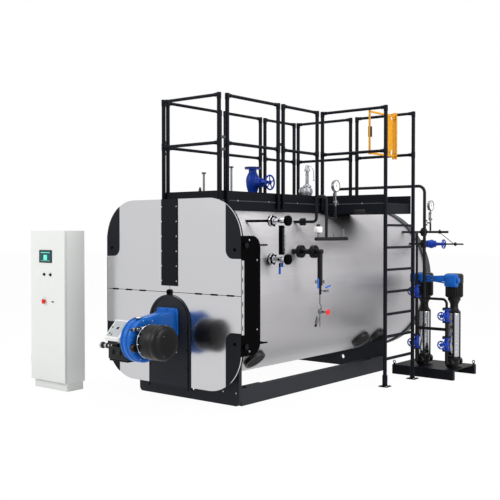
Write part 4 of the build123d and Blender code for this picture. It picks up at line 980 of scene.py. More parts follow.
@dataclass
class FrontPanel(SubAssembly):
    """Strip notches, plate bolts, folded edge and side plate fasteners of the clad front."""

    strip_y: float = FRONT_Y - 0.0118
    notch_z: float = 1.345
    notch_pitch: float = 0.164
    notch_count: int = 6
    knob_x: float = 0.943
    knob_zs: tuple[float, float] = (1.700, 0.720)
    plate_y: float = FRONT_Y - 0.022
    plate_z: float = 0.890
    arch_r: float = 0.286
    rim_r: float = 0.297
    rim_feet: tuple[float, float] = (0.16, 0.52)
    side_x: float = 1.034
    slot_count: int = 6
    slot_pitch: float = 0.125
    arch_step: int = 20
    leg_zs: Vec = (0.80, 0.60, 0.40)
    side_bolts: tuple[tuple[float, float], ...] = ((-0.174, 1.800), (-0.045, 1.588), (-0.045, 0.859), (-0.172, 0.640))
    cap_zs: tuple[float, float] = (1.745, 0.695)
    foot_bolts: tuple[tuple[float, float], ...] = ((0.545, 0.143), (0.729, 0.329), (0.729, 0.143))

    def dress(self) -> None:
        """Add the small parts of the front."""
        self._strip()
        self._plate()
        self._sides()

    def _strip(self) -> None:
        """Mark the centre strip's seams and the pale notches at their ends."""
        notches, seams = Form(), Form()
        for k in range(self.notch_count):
            z = self.notch_z + k * self.notch_pitch
            seams.plate((0.0, self.strip_y, z), FORWARD, 0.108, 0.0022, FINE, 0.0008, 0.0002)
            for side in SIDES:
                notches.plate((side * 0.1135, self.strip_y, z), FORWARD, 0.0045, 0.0060, FINE, FINE, 0.0002)
        self.keep(notches, "strip_notches", PALE_PLASTIC, "panel_grey")
        self.keep(seams, "strip_seams", PORT_DARK, "plate_dark")

    def _plate(self) -> None:
        """Add the corner plates' knobs and the burner plate's bolts, its round rim and its top plug."""
        dark = Form()
        for side in SIDES:
            for z in self.knob_zs:
                spot = (side * self.knob_x, FRONT_Y - 0.005, z)
                dark.turned(spot, FORWARD, mm(0, 18, 4, 18, 5, 11, 10, 10, 12, 6), 20)
        r, mid = self.arch_r, self.plate_z
        step = self.arch_step
        arch = [(r * math.cos(t), mid + r * math.sin(t)) for t in np.radians(np.arange(step, 161, step))]
        arch += [(side * r, z) for side in SIDES for z in self.leg_zs]
        dark.bolts([(x, self.plate_y, z) for x, z in arch], FORWARD, 0.006, 0.006)
        bow = np.radians(np.linspace(0.0, 180.0, 41))
        y = self.plate_y + 0.0005
        rim = np.stack([self.rim_r * np.cos(bow), np.full(41, y), mid + self.rim_r * np.sin(bow)], axis=-1)
        legs = np.array([[(side * self.rim_r, y, z) for z in self.rim_feet] for side in (1.0, -1.0)])
        dark.skin(pipe(np.concatenate([legs[0], rim, legs[1][::-1]]), 0.0055, FORWARD, 10))
        dark.turned((0.0, FRONT_Y - 0.012, 1.222), FORWARD, mm(0, 30, 12, 30, 20, 22, 22, 8), 24)
        self.keep(dark, "front_bolts", BLACK_COAT, "side_black")

    def _sides(self) -> None:
        """Add the sheets' folded edges with their slots, the side plates' caps and the fasteners."""
        fold, slots, fasteners, caps = Form(), Form(), Form(), Form()
        for side in SIDES:
            out = (side, 0.0, 0.0)
            spot = (side * self.side_x, FRONT_Y + 0.019, AXIS_Z - 0.015)
            fold.plate(spot, out, 0.019, 0.385, 0.004, 0.0022, 0.0008, Y_AXIS)
            for k in range(self.slot_count):
                z = AXIS_Z - 0.330 + self.slot_pitch * k
                spot = (side * (self.side_x + 0.0022), FRONT_Y + 0.014, z)
                slots.plate(spot, out, 0.006, 0.024, 0.005, 0.0006, 0.0002, Y_AXIS)
            fasteners.bolts([(side * self.side_x, y, z) for y, z in self.side_bolts], out, 0.008, 0.006)
            for z in self.cap_zs:
                caps.turned((side * 1.050, -0.2375, z), out, mm(0, 31, 5, 31, 6.3, 28), 28)
        self.keep(caps, "side_plate_caps", EDGE_COAT, "side_black")
        fasteners.bolts([(x, -0.0225, z) for x, z in self.foot_bolts], FORWARD, 0.008, 0.007)
        self.keep(fold, "sheet_folds", BRIGHT_SHEET, "panel_grey")
        self.keep(slots, "fold_slots", PORT_DARK, "side_black")
        self.keep(fasteners, "side_fasteners", MACHINED, "fitting_steel")


@dataclass
class Burner(SubAssembly):
    """Fan housing, motor drum, duct, desk and gas train of the burner."""

    fan: Vec = (0.0, FRONT_Y - 0.430, 0.735)
    fan_half: float = 0.075
    drum_drop: float = 0.010
    throat_z: float = 0.890
    throat_l: float = 0.378
    throat_start: Vec = (0.136, 1.024, 0.756)
    throat_draw: Vec = (0.068, 0.052, 0.062)
    face: float = FRONT_Y - 0.022
    pipe_z: float = 0.626
    desk_x: float = -0.352
    desk_rise: float = 0.062
    desk_tilt: float = 46.0
    cover_screws: tuple[Vec, ...] = ((0.389, -0.782, 0.799), (0.389, -0.783, 0.596), (0.382, -0.590, 0.620))
    damper: Vec = (0.066, -0.922, 0.673)
    sensors: tuple[Vec, ...] = ((-0.948, 0.866, 0.016), (-0.893, 0.866, 0.021), (-0.838, 0.880, 0.014))

    def build(self) -> None:
        """Build the burner's main forms in place of its nodes."""
        y, z = self.fan[1:]
        half = self.fan_half
        scroll = Form()
        rim = mm(
            0, 150, 0, 228, 4, 238, 12, 240, 18, 236, 22, 228, 46, 228, 50, 236, 56, 240, 84, 240, 90, 236, 94, 228,
            118, 228, 122, 236, 128, 240, 140, 238, 148, 228, 150, 205, 146, 198, 146, 120,
        )
        scroll.skin(lathe(Place((-half, y, z), X_AXIS, FORWARD), rim, 72))
        self.keep(scroll, "fan_scroll", BURNER_BLUE, "burner_blue", ["fan_housing"])
        self._throat()
        low = z - self.drum_drop
        profile = mm(
            0, 128, 14, 128, 18, 116, 64, 116, 67, 150, 74, 176, 82, 186, 96, 188.5, 190, 188.5, 212, 186, 222, 184,
            232, 186, 250, 189.5, 276, 188, 294, 181, 306, 168, 314, 150, 318, 128, 319.2, 90, 319.7, 40,
        )
        drum = Form().skin(lathe(Place((half, y, low), X_AXIS, FORWARD), profile, 72))
        self.keep(drum, "motor_drum", DRUM_BLACK, "drum_black", ["fan_motor"])
        screws = Form()
        screws.bolts(self.cover_screws, X_AXIS, 0.006, 0.006)
        screws.bolts(polar((half + 0.0001, y, z), X_AXIS, 0.212, 10, 12.0), X_AXIS, 0.007, 0.006)
        screws.bolts(polar((-half - 0.0001, y, z), LEFT, 0.205, 8, 12.0), LEFT, 0.007, 0.006)
        for spot in polar((half - 0.001, y, low), X_AXIS, 0.172, 12, 5.0):
            screws.rod(spot, (spot[0] + 0.066, spot[1], spot[2]), 0.0085, FINE, 14)
        screws.ring(Place((0.122, y, low), X_AXIS, FORWARD), 0.177, 0.0055, 72)
        self.keep(screws, "burner_screws", POLISHED, "fitting_steel")
        self._controls()
        self._desk()
        self._gas_train()

    def _throat(self) -> None:
        """Build the duct from the flange to the top of the scroll, as a loft of rounded rectangles.

        With e as twice the share of the way, at most 1, the half width shrinks by e e (3 - 2 e) of its draw, and the
        top sinks evenly.
        """
        y, mid = self.fan[1], self.throat_z
        duct = Form()
        duct.plate((0.0, self.face, mid), FORWARD, 0.160, 0.160, 0.036, 0.025, 0.009)
        a = np.linspace(0.0, 1.0, 17)
        ease = np.clip(a / 0.5, 0.0, 1.0)
        ease = ease * ease * (3.0 - 2.0 * ease)
        width_draw, top_draw, foot_draw = self.throat_draw
        half = self.throat_start[0] - width_draw * ease
        top = self.throat_start[1] - top_draw * a
        low = self.throat_start[2] - foot_draw * np.clip(a / 0.4, 0.0, 1.0)
        start = self.face - 0.020
        stations = [
            slab(Place((0.0, start - self.throat_l * s, (t + b) / 2), FORWARD), h, (t - b) / 2, 0.030, [(0.0, 0.0)])[0]
            for s, h, t, b in zip(a.tolist(), half.tolist(), top.tolist(), low.tolist())
        ]
        duct.skin(np.stack(stations))
        bolt_y = self.face - 0.025
        spots = [(sx * 0.147, bolt_y, mid + sz * 0.147) for sx in (-0.9, 0.0, 0.9) for sz in (-1, 1)]
        spots += [(sx * 0.147, bolt_y, mid) for sx in (-1, 1)]
        duct.bolts(spots, FORWARD, 0.007, 0.008)
        self.keep(duct, "burner_throat", BURNER_BLUE, "burner_blue", ["burner_duct"])
        up = (0.0, -0.20, 0.98)
        pane = Form().plate((0.020, y - 0.060, 0.9735), up, 0.036, 0.030, 0.004, 0.004)
        self.keep(pane, "duct_pane_rim", KNOB_BLACK, "gauge_black")
        pale = Form().plate((0.020, y - 0.0608, 0.9774), up, 0.028, 0.022, SOFT, 0.0012, 0.0004)
        self.keep(pale, "duct_pane", PALE_PLASTIC, "transmitter_white")

    def _controls(self) -> None:
        """Add the damper drive, its linkage and the small sensors on the scroll's face."""
        black, bright = Form(), Form()
        black.turned(self.damper, X_AXIS, mm(0, 38, 10, 44, 44, 45, 54, 40, 56, 20), 24)
        bright.rod((0.084, -0.890, 0.690), (0.084, -0.850, 0.700), 0.011)
        bright.rod((0.076, -0.845, 0.700), (0.100, -0.845, 0.700), 0.018, SOFT, 24)
        for y, z, r in self.sensors:
            black.rod((0.070, y, z), (0.094, y, z), r * 0.8, SOFT, 24)
            bright.rod((0.072, y + 0.026, z - 0.004), (0.108, y + 0.026, z - 0.004), r)
        self.keep(black, "damper_drive", KNOB_BLACK, "gauge_black")
        self.keep(bright, "damper_links", POLISHED, "fitting_steel")

    def _desk(self) -> None:
        """Build the tilted operator's desk: a pale rim around an inner plate with a plain screen."""
        tilt = math.radians(self.desk_tilt)
        out = (0.0, -math.sin(tilt), math.cos(tilt))
        y, z = self.fan[1:]
        base = Place((self.desk_x, y, z + self.desk_rise), out)
        shell, arm, plate, dark = Form(), Form(), Form(), Form()
        shell.plate(base.origin, out, 0.120, 0.130, 0.012, 0.038, 0.006)
        shell.plate(base.at(0.0, -0.128, 0.012), tuple(np.negative(base.axis(1))), 0.110, 0.012, 0.004, 0.010, SOFT)
        arm.plate((-0.2528, y, z), Z_AXIS, 0.1775, 0.035, 0.006, 0.061, 0.004)
        arm.rod((-0.300, y - 0.030, z + 0.020), (-0.300, y - 0.030, z - 0.060), 0.016)
        plate.plate(base.at(-0.006, 0.006, 0.0375), out, 0.096, 0.106, 0.006, 0.0020, 0.0006)
        plate.plate(base.at(0.012, 0.012, 0.0392), out, 0.052, 0.060, 0.004, 0.0014, 0.0005)
        dark.plate(base.at(0.004, 0.014, 0.0404), out, 0.020, 0.016, EDGE, 0.0012, 0.0004)
        for u, v in ((-0.084, 0.020), (-0.070, -0.062), (-0.030, -0.078)):
            dark.turned(base.at(u, v, 0.0385), out, mm(0, 10, 4, 10, 6, 7), 18)
        self.keep(shell, "desk_shell", PALE_PLASTIC, "desk_silver", ["burner_desk"])
        self.keep(arm, "desk_arm", CAST_ALUMINIUM, "desk_silver")
        self.keep(plate, "desk_plate", DESK_SILVER, "desk_silver")
        self.keep(dark, "desk_display", SCREEN_FRAME, "gauge_black")

    def _gas_train(self) -> None:
        """Build the double gas valve with its rings, its pressure switches and its inlet pipe."""
        y, z = self.fan[1], self.pipe_z
        train, dark = Form(), Form()
        rings = mm(
            0, 33, 14, 33, 16, 22, 40, 22, 42, 30, 56, 30, 58, 22, 100, 22, 102, 31, 118, 31, 120, 22, 174, 22,
            176, 37, 199, 37, 200, 35, 200, 20.8, 110, 20.8,
        )
        train.turned((-0.437, y, z), LEFT, rings)
        train.turned((-0.127, y, z), X_AXIS, mm(-10, 42, 14, 42, 16, 30, 52, 30), 24)
        train.bolts(polar((-0.636, y, z), LEFT, 0.0295, 4, 45.0), LEFT, 0.0045, 0.0009)
        train.plate((-0.190, y, z + 0.020), Z_AXIS, 0.050, 0.040, 0.006, 0.034, 0.004)
        self.keep(train, "gas_train_pipe", MACHINED, "fitting_steel", ["gas_valve"])
        dark.plate((-0.282, y, 0.504), Z_AXIS, 0.155, 0.085, 0.014, 0.136, 0.008)
        for k in range(8):
            dark.plate((-0.418 + 0.0375 * k, y, 0.480), Z_AXIS, 0.011, 0.070, SOFT, 0.030, EDGE)
        for x in (-0.370, -0.255):
            dark.plate((x, y, 0.640), Z_AXIS, 0.046, 0.052, 0.008, 0.030, 0.005)
            dark.turned((x, y - 0.084, 0.585), FORWARD, mm(0, 30, 10, 30, 14, 24), 24)
        for x in (-0.470, -0.520, -0.585):
            dark.turned((x, y, z), LEFT, mm(0, 27, 4, 31, 18, 31, 22, 27), 24)
        self.keep(dark, "gas_valve_body", DRUM_BLACK, "drum_black")


@dataclass
class ShellFittings(SubAssembly):
    """Level gauge, pressure header, dials, water column and rear valves on the right of the shell."""

    gauge: tuple[float, float] = (1.119, 0.270)
    gauge_zs: tuple[float, float] = (2.005, 1.590)
    header: Vec = (1.090, 1.175, 1.805)
    siphon_x: float = 0.950
    siphon_zs: tuple[float, float] = (2.005, 2.300)
    cock_ys: tuple[float, float, float] = (1.010, 1.340, 1.540)
    dials: tuple[tuple[float, float, float, float], ...] = ((1.090, 1.365, 2.425, 2.045), (1.185, 3.600, 2.249, 1.9023))
    scale_marks: int = 27
    scale_step: float = 10.38
    column: Vec = (1.270, 0.780, 1.665)
    column_flange_xs: tuple[float, float] = (0.985, 1.166)
    column_foot: float = 0.375
    drain_z: float = 1.000
    bar_pitch: float = 0.021
    bar_reach: int = 4
    rear_y: float = 3.600
    rear_zs: tuple[float, float] = (1.886, 1.722)
    handholes: tuple[Vec, ...] = ((0.337, 0.130, 47.5), (2.582, 0.130, 47.5), (2.985, 0.113, 46.5))

    def build(self) -> None:
        """Build each group of fittings."""
        self._level_gauge()
        self._header()
        self._dials()
        self._column()
        self._rear()
        self._handholes()

    def _flanges(self, form: Form, spot: Vec, radius: float, count: int, gap: float = 0.005) -> None:
        """Add a bolted pair of flanges with a gasket, square to X.

        Args:
            form: Where the surfaces go.
            spot: The pair's inner face, on its axis.
            radius: The flanges' radius.
            count: How many bolts.
            gap: The gasket's thickness.
        """
        x, y, z = spot
        thick = 0.022
        for start in (x, x + thick + gap):
            form.rod((start, y, z), (start + thick, y, z), radius, SOFT, 36)
        form.rod((x + 0.018, y, z), (x + 0.026 + gap, y, z), radius * 0.8, FINE, 32)
        for face, out in ((x + 2 * thick + gap, X_AXIS), (x, LEFT)):
            form.bolts(polar((face, y, z), out, radius * 0.78, count, 22.5), out, radius * 0.13, 0.008)

    def _level_gauge(self) -> None:
        """Two flanged arms with their cocks and a dark sight body between them."""
        x, y = self.gauge
        bright, dark = Form(), Form()
        for z in self.gauge_zs:
            dark.rod((shell_x(z), y, z), (0.975, y, z), 0.014)
            for form, start, end, radius, edge, sides in (
                (dark, 0.971, 0.984, 0.061, SOFT, 36),
                (bright, 0.984, 1.008, 0.060, 0.004, 36),
                (dark, 1.008, 1.015, 0.050, EDGE, 36),
                (bright, 1.015, 1.022, 0.038, SOFT, 30),
            ):
                form.rod((start, y, z), (end, y, z), radius, edge, sides)
            dark.bolts(polar((1.008, y, z), X_AXIS, 0.052, 6, 15.0), X_AXIS, 0.010, 0.012)
            dark.bolts(polar((0.971, y, z), LEFT, 0.045, 6, 15.0), LEFT, 0.009, 0.008)
            arm = mm(0, 20, 35, 18, 45, 27, 85, 28, 140, 27, 150, 20, 172, 19)
            bright.turned((1.012, y, z), X_AXIS, arm, 24)
            bright.rod((x - 0.002, y - 0.046, z), (x - 0.002, y + 0.046, z), 0.019, SOFT)
            dark.rod((x - 0.002, y - 0.060, z), (x - 0.002, y - 0.044, z), 0.013, SOFT, 6)
            for start in (1.187, 1.206):
                dark.rod((start, y, z), (start + 0.016, y, z), 0.056, SOFT, 36)
            bright.bolts(polar((1.187, y, z), LEFT, 0.038, 6, 15.0), LEFT, 0.006, 0.006)
        for dy in (0.062, 0.084):
            bright.rod((x - 0.005, y + dy, 1.600), (x - 0.005, y + dy, 1.995), 0.0032, FINE, 10)
        for dx in (-0.014, 0.016):
            bright.rod((x + dx, y, 1.585), (x + dx, y, 1.545), 0.009)
        self.keep(bright, "level_gauge_arms", POLISHED, "gauge_chrome", ["level_gauge"])
        dark.plate((x, y, 1.640), Z_AXIS, 0.023, 0.024, 0.005, 0.315, 0.004)
        for k in range(7):
            for turn in SIDES:
                bolt_y, bolt_z = y + turn * 0.017, 1.660 + 0.045 * k
                dark.rod((x + 0.0215, bolt_y, bolt_z), (x + 0.029, bolt_y, bolt_z), 0.0055, FINE, 6)
        dark.rod((x, y + 0.030, 1.690), (x, y + 0.052, 1.690), 0.012, SOFT, 12)
        dark.plate((1.105, y - 0.012, 1.550), DOWN, 0.011, 0.005, SOFT, 0.042, EDGE)
        self.keep(dark, "level_gauge_body", BLACK_COAT, "gauge_black", ["gauge_glass"])
        glass = Form().plate((x + 0.0225, y, 1.7975), X_AXIS, 0.007, 0.135, SOFT, 0.002, 0.0008, Y_AXIS)
        self.keep(glass, "sight_glass", SCREEN_FRAME, "gauge_black")
        grips = Form()
        grips.plate((1.105, y - 0.012, 1.510), DOWN, 0.013, 0.006, 0.005, 0.080, SOFT)
        grips.plate((1.137, y - 0.012, 1.556), DOWN, 0.014, 0.006, 0.005, 0.048, SOFT)
        self.keep(grips, "gauge_lever_grips", LEVER_BLUE, "valve_blue")

    def _header(self) -> None:
        """Siphon pipe, header tube, nipples, sensors and their flange."""
        x, y, z = self.header
        foot_z, top_z = self.siphon_zs
        bend_x = self.siphon_x
        first, _, last = self.cock_ys
        pipes, cocks, box, caps = Form(), Form(), Form(), Form()
        path = [(shell_x(foot_z), y, foot_z), (bend_x, y, foot_z), (bend_x, y, top_z), (x, y, top_z), (x, y, z + 0.007)]
        pipes.bent(path, 0.055, 0.017, Y_AXIS, 18)
        self._flanges(pipes, (0.730, y, foot_z), 0.045, 4)
        pipes.turned((x, 0.945, z), Y_AXIS, rounded_profile(0.685, 0.021, 0.0205, 6), 24)
        self.keep(pipes, "pressure_header", PIPE_BLACK, "gauge_black", ["pressure_pipe"])
        for cy in self.cock_ys:
            cocks.turned((x, cy, z), Z_AXIS, mm(18, 8, 26, 8, 27, 13, 40, 13, 41, 9, 50, 9, 51, 12, 60, 12), 12)
        cocks.turned((x, first, z + 0.058), Z_AXIS, mm(0, 16, 16, 18), 18)
        cocks.turned((x, last, z + 0.060), Z_AXIS, mm(0, 10, 50, 10, 60, 12, 62, 8), 14)
        self.keep(cocks, "header_cocks", DULL_STEEL, "gauge_chrome")
        box.turned((x, first, 1.878), Z_AXIS, rounded_profile(0.068, 0.047, 0.010), 36)
        box.plate((x, 0.968, 1.912), FORWARD, 0.028, 0.024, 0.006, 0.012, SOFT)
        self.keep(box, "transmitter_case", PALE_PLASTIC, "transmitter_white", ["transmitter"])
        caps.turned((x, first, 1.945), Z_AXIS, rounded_profile(0.030, 0.022, 0.005), 28)
        caps.turned((x, last, 1.926), Z_AXIS, rounded_profile(0.030, 0.016, 0.006), 20)
        self.keep(caps, "sensor_caps", KNOB_BLACK, "gauge_black")

    def _dials(self) -> None:
        """Two pressure dials on their cocks, with plain scales and pointers."""
        metal, white, ink, grips, dark = Form(), Form(), Form(), Form(), Form()
        case = mm(0, 60, 4, 68, 30, 69, 32, 70.8, 41, 70.8, 42.8, 68, 42.8, 63, 36, 61, 36, 30)
        for x, y, z, foot in self.dials:
            face = Place((x - 0.0215, y, z), X_AXIS, Y_AXIS)
            metal.skin(lathe(face, case, 48))
            white.skin(lathe(face, mm(36.2, 60.8, 37.2, 60.8), 48))
            for k in range(self.scale_marks):
                size = (0.007, 0.0014) if k % 5 == 0 else (0.0035, 0.0009)
                self._mark(ink, face, -45.0 + self.scale_step * k, 0.053, 0.0372, (*size, 0.0003, 0.0006, 0.0001))
            self._mark(ink, face, 70.0, 0.014, 0.0385, (0.034, 0.0018, 0.0012, FINE, 0.0002))
            ink.skin(lathe(face, mm(37.8, 7, 40.5, 7, 40.8, 4), 18))
            rise = z - 0.069 - foot
            stem = [(0.0, 0.012)]
            for down, before, after in ((0.140, 12, 16), (0.100, 16, 10), (0.050, 10, 15), (0.020, 15, 10)):
                stem += [(rise - down, before / 1000.0), (rise - down + EDGE, after / 1000.0)]
            metal.turned((x, y, foot), Z_AXIS, stem + [(rise, 0.010)], 18)
            cross = foot + rise - 0.119
            metal.rod((x, y - 0.040, cross), (x, y + 0.040, cross), 0.012, EDGE, 16)
            grips.plate((x + 0.004, y - 0.050, cross + 0.010), Z_AXIS, 0.008, 0.004, SOFT, 0.085, EDGE, Y_AXIS)
        (x, y, _, foot), (far_x, far_y, _, far_foot) = self.dials
        dark.rod((x, self.header[1] + 0.0173, foot), (x, y + 0.012, foot), 0.012)
        dark.rod((x, y, foot - 0.012), (x, y, 2.190), 0.0125)
        dark.rod((far_x, far_y, far_foot + 0.0002), (far_x, far_y, 2.010), 0.0127)
        hook = [(1.155, 3.560, 2.040), (1.110, 3.560, 2.040), (1.110, 3.560, 1.985), (1.155, 3.560, 1.985)]
        dark.bent(hook, 0.020, 0.011, Y_AXIS, 12)
        dark.rod((1.150, 3.560, 2.012), (far_x, far_y, 2.012), 0.009)
        self.keep(metal, "dial_cases", DULL_STEEL, "gauge_chrome", ["pressure_gauges"])
        self.keep(white, "dial_faces", DIAL_WHITE, "transmitter_white")
        self.keep(ink, "dial_scales", DIAL_BLACK, "gauge_black")
        self.keep(grips, "dial_cock_grips", KNOB_BLACK, "gauge_black")
        self.keep(dark, "dial_stems", PIPE_BLACK, "gauge_black")

    def _mark(
        self, ink: Form, face: Place, degrees: float, reach: float, rise: float, size: tuple[float, ...]
    ) -> None:
        """Lay one printed mark on a dial, along its radius.

        Args:
            ink: Where the surfaces go.
            face: The dial's frame.
            degrees: The mark's angle from the left.
            reach: How far its middle is from the centre.
            rise: Its height over the frame.
            size: Half length, half width, corner, depth and edge.
        """
        t = math.radians(degrees)
        u, v = -math.cos(t), math.sin(t)
        way = tuple(np.subtract(face.at(u, v, 0.0), face.origin))
        ink.plate(face.at(reach * u, reach * v, rise), X_AXIS, *size, way, 1)

    def _column(self) -> None:
        """Flanged stub, drop pipe, test cocks and drain of the water column."""
        x, y, z = self.column
        dark, bright, grips, grey, black = Form(), Form(), Form(), Form(), Form()
        dark.bent([(shell_x(z), y, z), (x, y, z), (x, y, z - self.column_foot)], 0.040, 0.029, Y_AXIS, 22)
        dark.rod((x - 0.040, y, z), (x + 0.032, y, z), 0.0295, 0.006, 24)
        for start in self.column_flange_xs:
            self._flanges(dark, (start, y, z), 0.072, 8)
        dark.rod((x + 0.004, y, 1.190), (x + 0.004, y, 1.300), 0.014)
        self.keep(dark, "column_pipe", PIPE_BLACK, "gauge_black", ["water_column"])
        for side, cz in ((-1.0, 1.335), (1.0, 1.330)):
            far = y + side * 0.075
            bright.rod((x, y + side * 0.020, cz), (x, far, cz), 0.009)
            bright.rod((x, far, cz - 0.020), (x, far, cz + 0.020), 0.010)
        bright.rod((x + 0.010, y + 0.070, 1.225), (x + 0.010, y + 0.150, 1.225), 0.013, EDGE, 16)
        bright.rod((x + 0.010, y + 0.015, 1.232), (x + 0.010, y + 0.072, 1.225), 0.007, FINE, 12)
        self.keep(bright, "column_cocks", DULL_STEEL, "gauge_chrome")
        grips.plate((x + 0.012, y - 0.052, 1.370), DOWN, 0.011, 0.005, SOFT, 0.110, EDGE, Y_AXIS)
        grips.plate((x + 0.012, y + 0.095, 1.262), (0.0, 1.0, 0.18), 0.009, 0.005, SOFT, 0.100, EDGE, Z_AXIS)
        self.keep(grips, "column_cock_grips", LEVER_BLUE, "valve_blue")
        way = ((0.0, 1.200), (0.0, 1.085), (0.020, 1.062), (0.020, 1.040), (0.0, 1.018), (0.0, 0.905))
        grey.bent([(x + dx, y, height) for dx, height in way], 0.010, 0.0068, Y_AXIS, 12)
        grey.turned((x, y, 0.972), Z_AXIS, mm(0, 11, 4, 19, 20, 19, 28, 24, 36, 19, 52, 19, 56, 11), 20)
        grey.rod((x, y, self.drain_z), (1.3726, y, self.drain_z), 0.008, FINE, 14)
        grey.rod((x + 0.020, y, self.drain_z), (x + 0.050, y, self.drain_z), 0.015, FINE, 6)
        grey.rod((x - 0.006, y - 0.028, 0.948), (x - 0.016, y - 0.046, 0.872), 0.021, 0.004, 6)
        grey.rod((x, y, 0.930), (x - 0.006, y - 0.026, 0.938), 0.010, EDGE, 12)
        grey.rod((x, y, 0.905), (x, y, 0.832), 0.0055, FINE, 10)
        self.keep(grey, "column_drain", DULL_STEEL, "fitting_grey")
        black.rod((x - 0.017, y - 0.047, 0.868), (x - 0.022, y - 0.056, 0.832), 0.013, SOFT, 14)
        self.keep(black, "column_filter_tip", KNOB_BLACK, "gauge_black")

    def _rear(self) -> None:
        """Stop valve, upper stub, long spindle, its link rod and the second feed line at the rear right."""
        y = self.rear_y
        high, low = self.rear_zs
        feed_x, feed_y = 1.296, 3.000
        dark, blue = Form(), Form()
        for z, end in ((high, 1.450), (low, 1.150)):
            dark.rod((shell_x(z), y, z), (end, y, z), 0.016)
            self._flanges(dark, (1.060, y, z), 0.059, 4)
        for x, z in ((1.325, high), (1.555, low)):
            dark.rod((x - 0.011, y, z), (x + 0.011, y, z), 0.025, SOFT, 24)
        dark.rod((1.325, y, high + 0.018), (1.325, y, high + 0.034), 0.010)
        dark.rod((1.325, y - 0.018, high), (1.545, y - 0.018, low), 0.0045, FINE, 10)
        feed = [(feed_x, feed_y, 1.180), (feed_x, feed_y, high), (1.000, y, high)]
        dark.bent(feed, 0.060, 0.0155, (0.8968, 0.4424, 0.0), 16)
        dark.rod((feed_x, feed_y, 1.185), (feed_x, feed_y, 1.235), 0.024, SOFT)
        self.keep(dark, "rear_stubs", PIPE_BLACK, "gauge_black", ["rear_valves"])
        profile = mm(
            0, 50, 10, 51, 14, 40, 32, 54, 52, 60, 70, 60, 88, 50, 100, 40, 102, 46, 114, 46, 116, 27, 150, 22,
            207.7, 18,
        )
        blue.turned((1.145, y, low), X_AXIS, profile, 32)
        blue.bolts(polar((1.257, y, low), X_AXIS, 0.038, 4, 45.0), X_AXIS, 0.005, 0.006)
        self.keep(blue, "rear_stop_valve", VALVE_BLUE, "valve_blue")
        spindle = Form().rod((1.394, y, low), (1.670, y, low), 0.0105)
        self.keep(spindle, "rear_spindle", PIPE_BLACK, "gauge_black", body="rear_wheel")

    def _handholes(self) -> None:
        """Round drums close to the shell, each with a ribbed wall and bars across its face.

        Each drum is given by its place along Y, its radius and its angle below the level.
        """
        form = Form()
        ribs = 1.0 - 0.012 * (np.arange(144) % 3 == 0)
        table = (
            (-0.030, -0.004, 0), (0.010, -0.004, 0), (0.012, 0.0, 1), (0.050, 0.0, 1), (0.055, -0.004, 0),
            (0.0553, -0.022, 0), (0.052, -0.024, 0), (0.052, -0.060, 0),
        )
        for y, radius, degrees in self.handholes:
            t = math.radians(degrees)
            out = (math.cos(t), 0.0, -math.sin(t))
            reach = math.sqrt(JACKET_R**2 - radius**2)
            place = Place((out[0] * reach, y, AXIS_Z + out[2] * reach), out, Y_AXIS)
            form.skin(fluted(place, [(h, radius + inset, share) for h, inset, share in table], ribs))
            for v in np.arange(-self.bar_reach, self.bar_reach + 1) * self.bar_pitch:
                half = math.sqrt((radius - 0.024) ** 2 - v * v)
                form.rod(place.at(-half, float(v), 0.0525), place.at(half, float(v), 0.0525), 0.0045, FINE, 8)
        self.keep(form, "handhole_covers", KNOB_BLACK, "gauge_black", ["handholes"])


